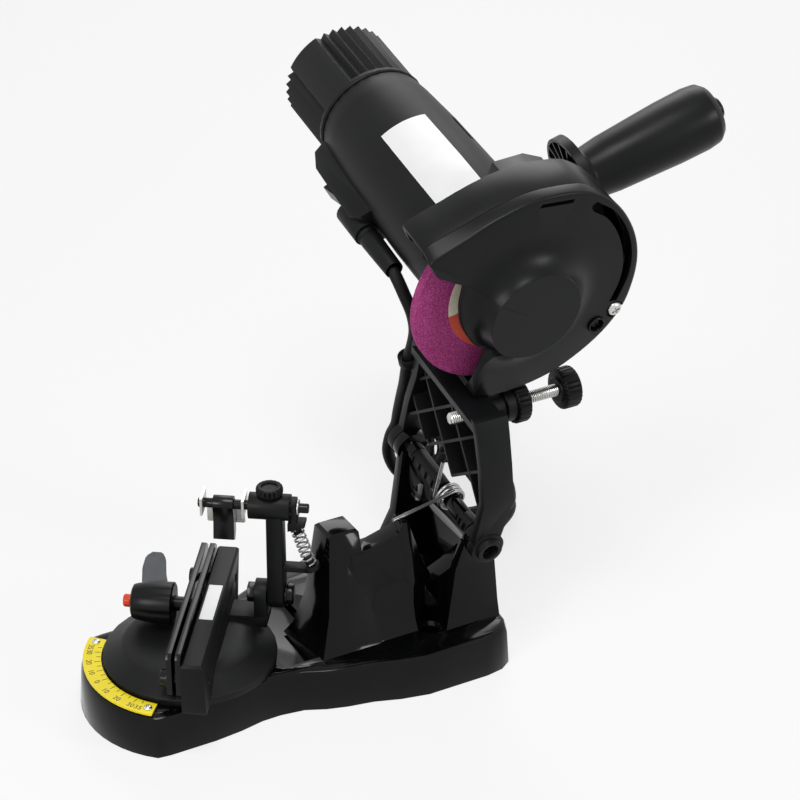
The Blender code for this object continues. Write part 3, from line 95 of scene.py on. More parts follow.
def addCamera():
    azimuth = camera["azimuth"]
    elevation = camera["elevation"]
    backward = Vector((sin(azimuth) * cos(elevation), -cos(azimuth) * cos(elevation), sin(elevation)))
    rightward = Vector((cos(azimuth), sin(azimuth), 0.0))
    upward = backward.cross(rightward)
    data = bpy.data.cameras.new("photoCamera")
    data.lens = camera["lens"]
    data.sensor_width = camera["sensor"]
    data.clip_end = 20.0
    made = bpy.data.objects.new("photoCamera", data)
    bpy.context.scene.collection.objects.link(made)
    turn = Matrix((rightward, upward, backward)).transposed().to_4x4()
    made.matrix_world = Matrix.Translation(camera["position"]) @ turn
    bpy.context.scene.camera = made
    bpy.context.scene.view_settings.view_transform = "Standard"


addCamera()
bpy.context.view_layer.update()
print("camera set")

# Frames of the machine: bench, vise on its turntable, leaning hinge, motor

places = {
    "hinge": (0.0, 0.0255, 0.075),
    "lean": radians(13.0),
    "motorFromHinge": (0.0, 0.0184, 0.127),
    "turntable": (0.0, -0.116, 0.0),
    "viseTurn": radians(-35.0),
}
benchPlace = Matrix.Identity(4)
hingePlace = Matrix.Translation(places["hinge"]) @ Matrix.Rotation(places["lean"], 4, "Y")
motorPlace = hingePlace @ Matrix.Translation(places["motorFromHinge"])
visePlace = Matrix.Translation(places["turntable"]) @ Matrix.Rotation(places["viseTurn"], 4, "Z")


# Modelling helpers

def keep(mesh, name, finish, body, replaced=(), place=benchPlace):
    # one finished piece: its place goes into its mesh
    mesh.name = name
    mesh.transform(place)
    mesh.materials.clear()
    mesh.materials.append(finish)
    made = bpy.data.objects.new(name, mesh)
    bpy.context.scene.collection.objects.link(made)
    if body:
        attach(made, body)
    for node in replaced:
        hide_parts(node)
    return made


def meshOf(work, smoothAngle=radians(35.0)):
    bmesh.ops.recalc_face_normals(work, faces=work.faces)
    mesh = bpy.data.meshes.new("shape")
    work.to_mesh(mesh)
    work.free()
    mesh.shade_smooth()
    mesh.set_sharp_from_angle(angle=smoothAngle)
    return mesh


def plainMesh(carrier):
    # the evaluated mesh of an object that is then taken away
    bpy.context.scene.collection.objects.link(carrier)
    mesh = bpy.data.meshes.new_from_object(carrier.evaluated_get(bpy.context.evaluated_depsgraph_get()))
    bpy.data.objects.remove(carrier)
    return mesh


def joinRings(work, rings, capped=False):
    # faces between each ring of points and the next
    for ring, following in zip(rings, rings[1:]):
        for index in range(len(ring)):
            after = (index + 1) % len(ring)
            work.faces.new((ring[index], ring[after], following[after], following[index]))
    if capped:
        work.faces.new(list(reversed(rings[0])))
        work.faces.new(rings[-1])


def smoothLine(points, steps):
    # a curve that passes through every point
    line = []
    last = len(points) - 1
    for index in range(last):
        before = Vector(points[max(index - 1, 0)])
        start = Vector(points[index])
        end = Vector(points[index + 1])
        after = Vector(points[min(index + 2, last)])
        for step in range(steps):
            share = step / steps
            line.append(0.5 * (2.0 * start + (end - before) * share
                               + (2.0 * before - 5.0 * start + 4.0 * end - after) * share ** 2
                               + (3.0 * start - before - 3.0 * end + after) * share ** 3))
    line.append(Vector(points[last]))
    return line


def lineLength(line):
    return sum((end - start).length for start, end in zip(line, line[1:]))


def sweep(line, radius, sides):
    # a round wire along a line, with a turning frame that never twists
    work = bmesh.new()
    rings = []
    forward = (line[1] - line[0]).normalized()
    aside = forward.orthogonal().normalized()
    for index, point in enumerate(line):
        before = line[max(index - 1, 0)]
        after = line[min(index + 1, len(line) - 1)]
        ahead = (after - before).normalized()
        aside = (aside - ahead * aside.dot(ahead)).normalized()
        other = ahead.cross(aside)
        rings.append([work.verts.new(point + (aside * cos(2.0 * pi * side / sides)
                                              + other * sin(2.0 * pi * side / sides)) * radius)
                      for side in range(sides)])
    joinRings(work, rings, True)
    return work


def turnedShape(profile, steps=64, closed=False):
    # profile of (distance along the axis, radius) about +X, from one end to the other
    work = bmesh.new()
    rings = []
    for along, reach in profile:
        if reach < 1.0e-7:
            rings.append([work.verts.new((along, 0.0, 0.0))])
        else:
            rings.append([work.verts.new((along, reach * cos(2.0 * pi * step / steps),
                                          reach * sin(2.0 * pi * step / steps))) for step in range(steps)])
    pairs = list(zip(rings, rings[1:]))
    if closed:
        pairs.append((rings[-1], rings[0]))
    for ring, following in pairs:
        for step in range(steps):
            corners = [ring[step % len(ring)], ring[(step + 1) % len(ring)],
                       following[(step + 1) % len(following)], following[step % len(following)]]
            unique = [corner for index, corner in enumerate(corners) if corner not in corners[:index]]
            if len(unique) > 2:
                work.faces.new(unique)
    return work


corners = {"segments": 2, "flattest": radians(0.7), "sharpest": radians(30.0), "shading": radians(40.0)}


def rounded(node, finish, body, width):
    # a copy of the CAD solid with its corners softened
    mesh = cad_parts[node].data.copy()
    work = bmesh.new()
    work.from_mesh(mesh)
    bmesh.ops.remove_doubles(work, verts=work.verts, dist=1.0e-6)
    bmesh.ops.dissolve_limit(work, angle_limit=corners["flattest"], verts=work.verts, edges=work.edges)
    work.to_mesh(mesh)
    work.free()
    mesh.shade_smooth()
    draft = bpy.data.objects.new("draft", mesh)
    softener = draft.modifiers.new("corners", "BEVEL")
    softener.width = width
    softener.segments = corners["segments"]
    softener.limit_method = "ANGLE"
    softener.angle_limit = corners["sharpest"]
    softener.miter_outer = "MITER_ARC"
    softener.use_clamp_overlap = True
    solid = plainMesh(draft)
    solid.shade_smooth()
    solid.set_sharp_from_angle(angle=corners["shading"])
    return keep(solid, node + "Shell", finish, body, (node,))


# Node trees

class Tree:
    # a node tree, and the one way its nodes are made
    def __init__(self, tree):
        self.tree = tree

    def node(self, kind, settings=None, sockets=None):
        made = self.tree.nodes.new(kind)
        for key, value in (settings or {}).items():
            setattr(made, key, value)
        for key, value in (sockets or {}).items():
            self.put(made.inputs[key], value)
        return made

    def put(self, target, value):
        if isinstance(value, Sockets):
            self.tree.links.new(value.socket, target)
        else:
            target.default_value = value

    def value(self, made, output=0):
        return Sockets(self.tree, made.outputs[output])

    def vector(self, *parts):
        return self.value(self.node("ShaderNodeCombineXYZ", sockets=dict(zip("XYZ", parts))))


class ShapeTree(Tree):
    # a Geometry Nodes tree with named inputs, which gives one plain mesh
    def __init__(self, name, inputs):
        super().__init__(bpy.data.node_groups.new(name, "GeometryNodeTree"))
        face = self.tree.interface
        face.new_socket("Geometry", in_out="OUTPUT", socket_type="NodeSocketGeometry")
        self.inputs = {title: face.new_socket(title, in_out="INPUT", socket_type="NodeSocket" + kind)
                       for title, kind in inputs.items()}
        self.entry = self.node("NodeGroupInput")

    def given(self, title):
        return self.value(self.entry, title)

    def finished(self, instances, values):
        solid = self.node("GeometryNodeRealizeInstances", sockets={"Geometry": instances})
        dressed = self.node("GeometryNodeSetMaterial", sockets={"Geometry": self.value(solid),
                                                                "Material": self.given("Finish")})
        self.node("NodeGroupOutput", sockets={"Geometry": self.value(dressed)})
        carrier = bpy.data.objects.new("carrier", bpy.data.meshes.new("carrier"))
        nodes = carrier.modifiers.new("nodes", "NODES")
        nodes.node_group = self.tree
        for title, value in values.items():
            nodes[self.inputs[title].identifier] = value
        return plainMesh(carrier)


# Finishes

class Finish(Tree):
    # a material, and the patterns that the finishes are made of
    def __init__(self, name):
        self.material = bpy.data.materials.new(name)
        self.material.use_nodes = True
        super().__init__(self.material.node_tree)
        self.shader = next(node for node in self.tree.nodes if node.type == "BSDF_PRINCIPLED")

    def spot(self):
        return self.value(self.node("ShaderNodeTexCoord"), "Object")

    def noise(self, scale, detail, roughness=0.55):
        return self.value(self.node("ShaderNodeTexNoise", sockets={"Vector": self.spot(), "Scale": scale,
                                                                   "Detail": detail, "Roughness": roughness}))

    def cells(self, scale):
        return self.value(self.node("ShaderNodeTexVoronoi", sockets={"Vector": self.spot(), "Scale": scale}))

    def between(self, share, first, second):
        first, second = (color if isinstance(color, Sockets) else (*color, 1.0) for color in (first, second))
        return self.value(self.node("ShaderNodeMix", {"data_type": "RGBA"}, {0: share, 6: first, 7: second}), 2)

    def ramp(self, share, low, high):
        return self.value(self.node("ShaderNodeMapRange", sockets={"Value": share, "From Min": low,
                                                                   "From Max": high}))

    def bump(self, height, strength, distance):
        return self.value(self.node("ShaderNodeBump", sockets={"Height": height, "Strength": strength,
                                                               "Distance": distance}))

    def give(self, sockets):
        for key, value in sockets.items():
            self.put(self.shader.inputs[key], value)
        return self.material


lacquer = {"color": (0.0012, 0.0013, 0.0016), "dust": (0.0040, 0.0042, 0.0046), "dustRange": (0.45, 0.85),
           "rough": 0.075, "roughSpread": 0.07, "roughRange": (0.3, 0.8), "shine": 0.15, "coat": 0.05,
           "coatRough": 0.03, "haze": (38.0, 4.0), "wave": (55.0, 2.0), "fine": (900.0, 2.0), "fineShare": 0.03,
           "relief": (0.35, 0.0004)}


def lacquerFinish():
    finish = Finish("blackLacquer")
    haze, wave, fine = (finish.noise(*lacquer[key]) for key in ("haze", "wave", "fine"))
    return finish.give({
        "Base Color": finish.between(finish.ramp(haze, *lacquer["dustRange"]), lacquer["color"], lacquer["dust"]),
        "Roughness": finish.ramp(haze, *lacquer["roughRange"]) * lacquer["roughSpread"] + lacquer["rough"],
        "Specular IOR Level": lacquer["shine"],
        "Coat Weight": lacquer["coat"],
        "Coat Roughness": lacquer["coatRough"],
        "Normal": finish.bump(wave + fine * lacquer["fineShare"], *lacquer["relief"])})


moulded = {"color": (0.0032, 0.0034, 0.0038), "worn": (0.0064, 0.0067, 0.0074), "wornRange": (0.35, 0.75),
           "rough": 0.40, "roughRange": (0.2, 0.8), "roughSpread": 0.12, "shine": 0.15, "cloud": (24.0, 5.0),
           "grain": (2600.0, 2.0), "pits": 1900.0, "pitShare": 0.6, "grainStrength": 0.28}


def mouldedFinish(name, rough, grainHeight=0.00006, lift=1.0):
    finish = Finish(name)
    cloud, grain = (finish.noise(*moulded[key]) for key in ("cloud", "grain"))
    pits = finish.cells(moulded["pits"])
    color, worn = (tuple(part * lift for part in moulded[key]) for key in ("color", "worn"))
    return finish.give({
        "Base Color": finish.between(finish.ramp(cloud, *moulded["wornRange"]), color, worn),
        "Roughness": finish.ramp(cloud, *moulded["roughRange"]) * moulded["roughSpread"] + rough,
        "Specular IOR Level": moulded["shine"],
        "Normal": finish.bump(grain + pits * moulded["pitShare"], moulded["grainStrength"], grainHeight)})


rubber = {"color": (0.004, 0.004, 0.0045), "dust": (0.009, 0.009, 0.0095), "rough": 0.42, "roughSpread": 0.2,
          "shine": 0.15, "cloud": (60.0, 4.0), "grain": (3200.0, 2.0), "relief": (0.25, 0.00005)}


def rubberFinish():
    finish = Finish("leadSheath")
    cloud, grain = (finish.noise(*rubber[key]) for key in ("cloud", "grain"))
    return finish.give({
        "Base Color": finish.between(cloud, rubber["color"], rubber["dust"]),
        "Roughness": cloud * rubber["roughSpread"] + rubber["rough"],
        "Specular IOR Level": rubber["shine"],
        "Normal": finish.bump(grain, *rubber["relief"])})


metal = {"shadeRange": (0.3, 0.75), "roughSpread": 0.18, "cloud": (130.0, 5.0), "fine": (2400.0, 3.0),
         "cloudShare": 0.3, "relief": (0.35, 0.00004)}


def metalFinish(name, color, shade, rough):
    finish = Finish(name)
    cloud, fine = (finish.noise(*metal[key]) for key in ("cloud", "fine"))
    return finish.give({
        "Base Color": finish.between(finish.ramp(cloud, *metal["shadeRange"]), color, shade),
        "Metallic": 1.0,
        "Roughness": cloud * metal["roughSpread"] + rough,
        "Normal": finish.bump(fine + cloud * metal["cloudShare"], *metal["relief"])})


blackSteel = {"color": (0.003, 0.003, 0.0035), "bare": (0.05, 0.05, 0.05), "bareRange": (0.66, 0.78),
              "bareShare": 0.35, "metallic": 0.5, "rough": 0.16, "roughSpread": 0.12, "shine": 0.22,
              "cloud": (90.0, 5.0), "fine": (2100.0, 3.0), "wear": (420.0, 6.0, 0.7), "relief": (0.3, 0.00005)}


def blackSteelFinish():
    finish = Finish("blackedSteel")
    cloud, fine, wear = (finish.noise(*blackSteel[key]) for key in ("cloud", "fine", "wear"))
    bare = finish.ramp(wear, *blackSteel["bareRange"])
    return finish.give({
        "Base Color": finish.between(bare * blackSteel["bareShare"], blackSteel["color"], blackSteel["bare"]),
        "Metallic": bare * blackSteel["metallic"],
        "Roughness": cloud * blackSteel["roughSpread"] + blackSteel["rough"],
        "Specular IOR Level": blackSteel["shine"],
        "Normal": finish.bump(fine, *blackSteel["relief"])})


stone = {"pink": (0.36, 0.026, 0.175), "pale": (0.56, 0.17, 0.36), "dark": (0.17, 0.008, 0.080),
         "paleRange": (0.46, 0.70), "grainRange": (0.45, 0.9), "grainShare": 0.55, "cloudRange": (0.35, 0.8),
         "cloudShare": 0.25, "rough": 0.72, "roughSpread": 0.15, "shine": 0.2, "grain": 1250.0,
         "speck": (1500.0, 3.0, 0.65), "cloud": (45.0, 4.0), "grainHeight": 0.8, "relief": (0.75, 0.00035)}


def stoneFinish():
    finish = Finish("pinkStone")
    grains = finish.cells(stone["grain"])
    speck, cloud = (finish.noise(*stone[key]) for key in ("speck", "cloud"))
    body = finish.between(finish.ramp(speck, *stone["paleRange"]), stone["pink"], stone["pale"])
    color = finish.between(finish.ramp(grains, *stone["grainRange"]) * stone["grainShare"], body, stone["dark"])
    return finish.give({
        "Base Color": finish.between(finish.ramp(cloud, *stone["cloudRange"]) * stone["cloudShare"], color,
                                     stone["dark"]),
        "Roughness": speck * stone["roughSpread"] + stone["rough"],
        "Specular IOR Level": stone["shine"],
        "Normal": finish.bump(speck + grains * stone["grainHeight"], *stone["relief"])})


paper = {"fleckRange": (0.4, 0.7), "rough": 0.6, "roughSpread": 0.15, "fibre": (700.0, 5.0, 0.65),
         "relief": (0.2, 0.00003)}


def paperFinish(name, color, fleck):
    finish = Finish(name)
    fibre = finish.noise(*paper["fibre"])
    return finish.give({
        "Base Color": finish.between(finish.ramp(fibre, *paper["fleckRange"]), color, fleck),
        "Roughness": fibre * paper["roughSpread"] + paper["rough"],
        "Normal": finish.bump(fibre, *paper["relief"])})


paint = {"shadeRange": (0.35, 0.8), "roughSpread": 0.1, "shine": 0.25, "cloud": (70.0, 4.0),
         "fine": (1800.0, 2.0), "relief": (0.15, 0.00003)}


def paintFinish(name, color, shade, rough):
    finish = Finish(name)
    cloud, fine = (finish.noise(*paint[key]) for key in ("cloud", "fine"))
    return finish.give({
        "Base Color": finish.between(finish.ramp(cloud, *paint["shadeRange"]), color, shade),
        "Roughness": cloud * paint["roughSpread"] + rough,
        "Specular IOR Level": paint["shine"],
        "Normal": finish.bump(fine, *paint["relief"])})


blackLacquer = lacquerFinish()
mouldedBlack = mouldedFinish("mouldedBlack", moulded["rough"])
mouldedSatin = mouldedFinish("mouldedSatin", 0.27, 0.00004)
leadRubber = rubberFinish()
zincPlate = metalFinish("zincPlate", (0.66, 0.66, 0.64), (0.50, 0.49, 0.46), 0.20)
springWire = metalFinish("springWire", (0.42, 0.42, 0.42), (0.25, 0.25, 0.25), 0.24)
turnedSteel = metalFinish("turnedSteel", (0.56, 0.56, 0.57), (0.42, 0.42, 0.43), 0.28)
copperWire = metalFinish("copperWire", (0.62, 0.26, 0.11), (0.40, 0.15, 0.06), 0.34)
blackedSteel = blackSteelFinish()
pinkStone = stoneFinish()
yellowPlate = paintFinish("yellowPlate", (0.92, 0.76, 0.006), (0.84, 0.67, 0.005), 0.34)
scaleInk = paintFinish("scaleInk", (0.010, 0.010, 0.010), (0.018, 0.018, 0.018), 0.35)
creamPaper = paperFinish("creamPaper", (0.74, 0.71, 0.55), (0.62, 0.59, 0.44))
redPaper = paperFinish("redPaper", (0.62, 0.075, 0.035), (0.52, 0.055, 0.025))
whiteLabel = paintFinish("whiteLabel", (0.84, 0.84, 0.84), (0.79, 0.79, 0.80), 0.30)
redPlastic = paintFinish("redPlastic", (0.72, 0.060, 0.020), (0.60, 0.045, 0.015), 0.24)
greyPlastic = mouldedFinish("greyPlastic", 0.36, 0.00005, 22.0)
print("finishes made")


# Mains lead: from the motor down the arm, behind the column, then folded on the bench, with its plug

lead = {
    "radius": 0.0032,
    "sides": 14,
    "steps": 4,
    "upper": [(-0.0820, -0.0144, 0.1065), (-0.0660, -0.0144, 0.1065), (-0.0520, -0.0143, 0.1050),
              (-0.0435, -0.0118, 0.0965), (-0.0398, -0.0080, 0.0860), (-0.0395, -0.0052, 0.0750),
              (-0.0410, -0.0044, 0.0640), (-0.0427, -0.0045, 0.0535), (-0.0442, -0.0036, 0.0440),
              (-0.0464, -0.0022, 0.0340), (-0.0495, -0.0008, 0.0220), (-0.0515, 0.0, 0.0100), (-0.0520, 0.0, 0.0004)],
    "lower": [(-0.0532, 0.0235, 0.0790), (-0.0545, 0.0230, 0.0690), (-0.0535, 0.0265, 0.0590),
              (-0.0510, 0.0345, 0.0500), (-0.0475, 0.0440, 0.0400), (-0.0435, 0.0530, 0.0270),
              (-0.0415, 0.0610, 0.0140), (-0.0430, 0.0690, 0.0068), (-0.0475, 0.0790, 0.0048),
              (-0.0545, 0.0900, 0.0047)],
    "gatherStart": (-0.0527, 0.0255, 0.0980),
    "gatherEnd": (-0.0575, 0.0265, 0.0600),
}
hank = {
    "middle": (-0.1297, 0.1082),
    "along": (-0.8790, 0.4770),
    "aside": (-0.4770, -0.8790),
    "run": 0.112,
    "inner": 0.0190,
    "outer": 0.0266,
    "drawn": 0.0100,
    "low": 0.0047,
    "high": 0.0118,
    "top": 0.0190,
    "runPoints": 6,
    "turnPoints": 9,
    "entry": (-0.0600, 0.0004),
    "lastLane": 0.0130,
    "toPlug": [(0.0520, 0.0128, 0.0200), (0.0400, 0.0100, 0.0236), (0.0310, 0.0064, 0.0280),
               (0.0235, 0.0014, 0.0313), (0.0160, 0.0, 0.0318)],
}


def onBench(along, aside, height):
    # a point of the folded lead, in the hank's own directions
    return (hank["middle"][0] + along * hank["along"][0] + aside * hank["aside"][0],
            hank["middle"][1] + along * hank["along"][1] + aside * hank["aside"][1], height)


def straightRun(lane, outgoing, low, high):
    made = []
    count = hank["runPoints"]
    for index in range(count):
        share = (index + 0.5) / count
        along = hank["run"] * (share - 0.5 if outgoing else 0.5 - share)
        drawn = hank["drawn"] * sin(pi * share) ** 2
        aside = lane - drawn if lane > 0.0 else lane + drawn
        made.append(onBench(along, aside, low + (high - low) * (0.5 - 0.5 * cos(pi * share))))
    return made


def turnBack(start, end, outgoing, height):
    made = []
    count = hank["turnPoints"]
    middle = (start + end) / 2.0
    reach = abs(start - end) / 2.0
    for index in range(count):
        angle = pi * (index + 0.5) / count
        along = hank["run"] / 2.0 + reach * sin(angle)
        made.append(onBench(along if outgoing else -along, middle + (start - middle) * cos(angle), height))
    return made


def hankLine():
    inner, outer = hank["inner"], hank["outer"]
    low, high, top = hank["low"], hank["high"], hank["top"]
    lanes = [(-outer, low, low), (outer, low, low), (-inner, low, low), (inner, low, high), (-inner, high, high),
             (outer, high, high), (-outer, high, top)]  # beside the middle, height where it starts and ends
    ends = [lane for lane, start, end in lanes[1:]] + [hank["lastLane"]]
    points = [onBench(hank["entry"][0], hank["entry"][1] - outer, low)]
    for index, ((lane, start, end), following) in enumerate(zip(lanes, ends)):
        outgoing = index % 2 == 0
        points += straightRun(lane, outgoing, start, end) + turnBack(lane, following, outgoing, end)
    return points + [onBench(*point) for point in hank["toPlug"]]


def addLead():
    upper = [tuple(hingePlace @ Vector(point)) for point in lead["upper"]]
    line = smoothLine(upper + lead["lower"] + hankLine(), lead["steps"])
    mesh = meshOf(sweep(line, lead["radius"], lead["sides"]), radians(60.0))
    made = bpy.data.objects.new("mainsLead", mesh)
    mesh.materials.append(leadRubber)
    bpy.context.scene.collection.objects.link(made)
    for node in ("cord_upper", "cord_lower", "cord_hank"):
        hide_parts(node)
    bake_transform(made)
    length = lineLength(line)
    print("mains lead:", round(length, 3), "m")
    return made


# Pieces that keep the CAD solid, with corners softened where light catches them

softened = {  # finish, body, slot, width of the softened corners
    "base_casting": (blackLacquer, "root", "gloss_black_paint", 0.0008),
    "hinge_sleeve": (blackLacquer, "root", "gloss_black_paint", 0.0004),
    "spring_bush": (mouldedBlack, "root", "black_plastic", 0.0002),
    "hinge_bush": (mouldedBlack, "root", "black_plastic", 0.0002),
    "hinge_pin": (blackedSteel, "root", "black_steel", 0.0004),
    "vise_body": (mouldedBlack, "swivel", "black_plastic", 0.0005),
    "rail_fixed": (blackedSteel, "swivel", "black_steel", 0.0004),
    "rail_moving": (blackedSteel, "jaw", "black_steel", 0.0004),
    "rail_bolt_far": (blackedSteel, "swivel", "zinc_steel", 0.0004),
    "rail_bolt_near": (blackedSteel, "swivel", "zinc_steel", 0.0004),
    "post_bolt": (blackedSteel, "swivel", "zinc_steel", 0.0004),
    "post_nut": (blackedSteel, "swivel", "zinc_steel", 0.0004),
    "clamp_shaft": (mouldedSatin, "swivel", "zinc_steel", 0.0003),
    "push_button": (redPlastic, "button", "red_plastic", 0.0005),
    "stop_post": (mouldedBlack, "chain_stop", "black_plastic", 0.0005),
    "stop_rod": (blackedSteel, "chain_stop", "zinc_steel", 0.0002),
    "rod_clip": (springWire, "chain_stop", "zinc_steel", 0.0001),
    "stop_lever": (mouldedBlack, "chain_stop", "black_plastic", 0.0003),
    "stop_pawl": (blackedSteel, "pawl", "black_steel", 0.0002),
    "arm": (mouldedBlack, "head", "black_plastic", 0.0004),
    "motor_housing": (mouldedBlack, "head", "black_plastic", 0.0005),
    "rear_cover": (mouldedBlack, "head", "black_plastic", 0.0003),
    "guard_back": (mouldedSatin, "head", "black_plastic", 0.0005),
    "handle_grip": (mouldedSatin, "head", "black_plastic", 0.0005),
    "strain_relief": (mouldedBlack, "head", "black_plastic", 0.0002),
    "cable_clip": (mouldedBlack, "head", "black_plastic", 0.0002),
    "switch_rocker": (mouldedSatin, "rocker", "red_plastic", 0.0003),
}
inside = {
    "stator": copperWire, "rotor": turnedSteel, "front_bearing": turnedSteel, "rear_bearing": turnedSteel,
    "inner_flange": turnedSteel, "outer_flange": turnedSteel, "wheel_nut": zincPlate, "handle_stud": zincPlate,
    "turntable_bolt": zincPlate, "turntable_washer": zincPlate, "stop_spring": springWire, "cord_tie": leadRubber,
    "mains_plug": mouldedBlack,
}
for node, (finish, body, slotName, width) in softened.items():
    rounded(node, finish, body, width)
for node, finish in inside.items():
    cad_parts[node].data.materials.clear()
    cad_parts[node].data.materials.append(finish)
addLead()
print("solids dressed")


# Grinding wheel with its paper ring

stoneWheel = {"radius": 0.0525, "half": 0.0024, "bore": 0.0111, "middle": 0.030, "chamfer": 0.0004, "steps": 160,
              "paperOuter": 0.0345, "paperInner": 0.0172, "paperThick": 0.00015, "paperSteps": 72,
              "redFrom": radians(193.0), "redTo": radians(262.0)}


def ringSector(inner, outer, start, end, low, high, steps):
    # a thin sector of a ring about +X
    work = bmesh.new()
    loops = []
    for along, reach in ((low, inner), (low, outer), (high, outer), (high, inner)):
        loops.append([work.verts.new((along, reach * cos(start + (end - start) * step / steps),
                                      reach * sin(start + (end - start) * step / steps)))
                      for step in range(steps + 1)])
    for first, second in zip(loops, loops[1:] + loops[:1]):
        for step in range(steps):
            work.faces.new((first[step], second[step], second[step + 1], first[step + 1]))
    work.faces.new([loop[0] for loop in loops])
    work.faces.new([loop[-1] for loop in reversed(loops)])
    return work


def addWheel():
    radius, half, bore, middle, bevel = (stoneWheel[key] for key in ("radius", "half", "bore", "middle", "chamfer"))
    profile = [(-half, bore), (-half, middle), (-half, radius - bevel), (-half + bevel, radius),
               (half - bevel, radius), (half, radius - bevel), (half, middle), (half, bore)]
    keep(meshOf(turnedShape(profile, stoneWheel["steps"], True)), "stoneWheel", pinkStone, "spindle",
         ("grinding_wheel",), motorPlace)
    for name, finish, start, end in (("creamRing", creamPaper, stoneWheel["redTo"], stoneWheel["redFrom"] + 2.0 * pi),
                                     ("redRing", redPaper, stoneWheel["redFrom"], stoneWheel["redTo"])):
        sector = ringSector(stoneWheel["paperInner"], stoneWheel["paperOuter"], start, end, half,
                            half + stoneWheel["paperThick"], stoneWheel["paperSteps"])
        keep(meshOf(sector), name, finish, "spindle", (), motorPlace)


# Angle scale: plate, ticks, numbers and its two screws

angleScale = {"inner": 0.0433, "outer": 0.0522, "half": radians(44.6), "corner": 0.0012, "low": 0.0223,
              "high": 0.0233, "tickIn": 0.0436, "tickShort": 0.0021, "tickLong": 0.0031, "tickWidth": 0.00034,
              "inkThick": 0.00006, "numberSize": 0.0040, "numberReach": 0.0493, "screwAngle": radians(40.4),
              "screwReach": 0.0479, "screwRadius": 0.0021, "screwHeight": 0.0012, "screwTurn": radians(20.0),
              "tickCount": 15, "tickStep": radians(5.0), "arcSteps": 60,
              "numbers": (-35, -30, -20, -10, 0, 10, 20, 30, 35)}


def onScale(turn, reach):
    # a point of the scale, turned from its middle
    return reach * sin(turn), -reach * cos(turn)


def arcOnScale(reach, start, end):
    count = angleScale["arcSteps"]
    return [onScale(start + (end - start) * index / (count - 1), reach) for index in range(count)]


def scaleOutline():
    inner, outer, half, corner = (angleScale[key] for key in ("inner", "outer", "half", "corner"))
    trim = corner / outer
    corners = [outer - corner * 0.3, outer - corner]
    return (arcOnScale(outer, trim - half, half - trim) + [onScale(half, reach) for reach in corners]
            + arcOnScale(inner, half - trim * 0.4, trim * 0.4 - half)
            + [onScale(-half, reach) for reach in reversed(corners)])


def slab(outline, low, high):
    # a flat plate from an outline in the XY plane
    work = bmesh.new()
    joinRings(work, [[work.verts.new((x, y, height)) for x, y in outline] for height in (low, high)], True)
    return work


def scaleTicks():
    # a bar on every fifth degree, longer on every tenth
    shape = ShapeTree("scaleTicks", {"Finish": "Material", "Step": "Float", "Short": "Float", "Long": "Float"})
    index = shape.value(shape.node("GeometryNodeInputIndex"))
    angle = (index - (angleScale["tickCount"] - 1) / 2.0) * shape.given("Step")
    odd = index.calculate("MODULO", 2.0)
    length = odd * shape.given("Long") + (1.0 - odd) * shape.given("Short")
    line = shape.node("GeometryNodeMeshLine", sockets={"Count": angleScale["tickCount"], "Offset": (0.0, 0.0, 0.0)})
    place = shape.node("GeometryNodeSetPosition", sockets={
        "Geometry": shape.value(line),
        "Position": shape.vector(angle.calculate("SINE") * angleScale["tickIn"],
                                 angle.calculate("COSINE") * -angleScale["tickIn"])})
    bar = shape.node("GeometryNodeMeshCube", sockets={"Size": (angleScale["tickWidth"], 1.0, angleScale["inkThick"])})
    hung = shape.node("GeometryNodeTransform", sockets={"Geometry": shape.value(bar),  # grows outwards from its end
                                                        "Translation": (0.0, -0.5, 0.0)})
    spread = shape.node("GeometryNodeInstanceOnPoints", sockets={
        "Points": shape.value(place),
        "Instance": shape.value(hung),
        "Rotation": shape.vector(0.0, 0.0, angle),
        "Scale": shape.vector(1.0, length, 1.0)})
    return shape.finished(shape.value(spread), {"Finish": scaleInk, "Step": angleScale["tickStep"],
                                                "Short": angleScale["tickShort"], "Long": angleScale["tickLong"]})


def addScale():
    turntable = Matrix.Translation(places["turntable"])
    keep(meshOf(slab(scaleOutline(), angleScale["low"], angleScale["high"])), "scalePlate", yellowPlate, "root",
         ("angle_scale",), turntable)
    printed = turntable @ Matrix.Translation((0.0, 0.0, angleScale["high"] + angleScale["inkThick"] * 0.5))
    keep(scaleTicks(), "scaleTicks", scaleInk, "root", (), printed)
    for degrees in angleScale["numbers"]:
        letters = bpy.data.curves.new("scaleNumber", "FONT")
        letters.body = str(abs(degrees))
        letters.size = angleScale["numberSize"]
        letters.align_x = "CENTER"
        letters.align_y = "CENTER"
        letters.extrude = angleScale["inkThick"] * 0.5
        turn = radians(degrees)
        spot = Matrix.Translation((*onScale(turn, angleScale["numberReach"]), 0.0)) @ Matrix.Rotation(turn, 4, "Z")
        keep(plainMesh(bpy.data.objects.new("scaleNumber", letters)), "scaleNumber" + str(degrees + 100), scaleInk,
             "root", (), printed @ spot)
    for side, node in ((-1.0, "scale_screw_left"), (1.0, "scale_screw_right")):
        spot = Matrix.Translation((*onScale(side * angleScale["screwAngle"], angleScale["screwReach"]),
                                   angleScale["high"]))
        keep(crossHead(angleScale["screwRadius"], angleScale["screwHeight"]), node + "Head", zincPlate, "root",
             (node,), turntable @ spot @ Matrix.Rotation(angleScale["screwTurn"], 4, "Z"))


# Cross-head screws, for the scale and the guard

screwHead = {"profile": [(0.0, 0.0), (0.0, 1.0), (0.35, 1.0), (0.75, 0.82), (0.95, 0.55), (1.0, 0.25), (1.0, 0.0)],
             "steps": 40, "slotLength": 1.15, "slotWidth": 0.26, "slotDepth": 1.1}


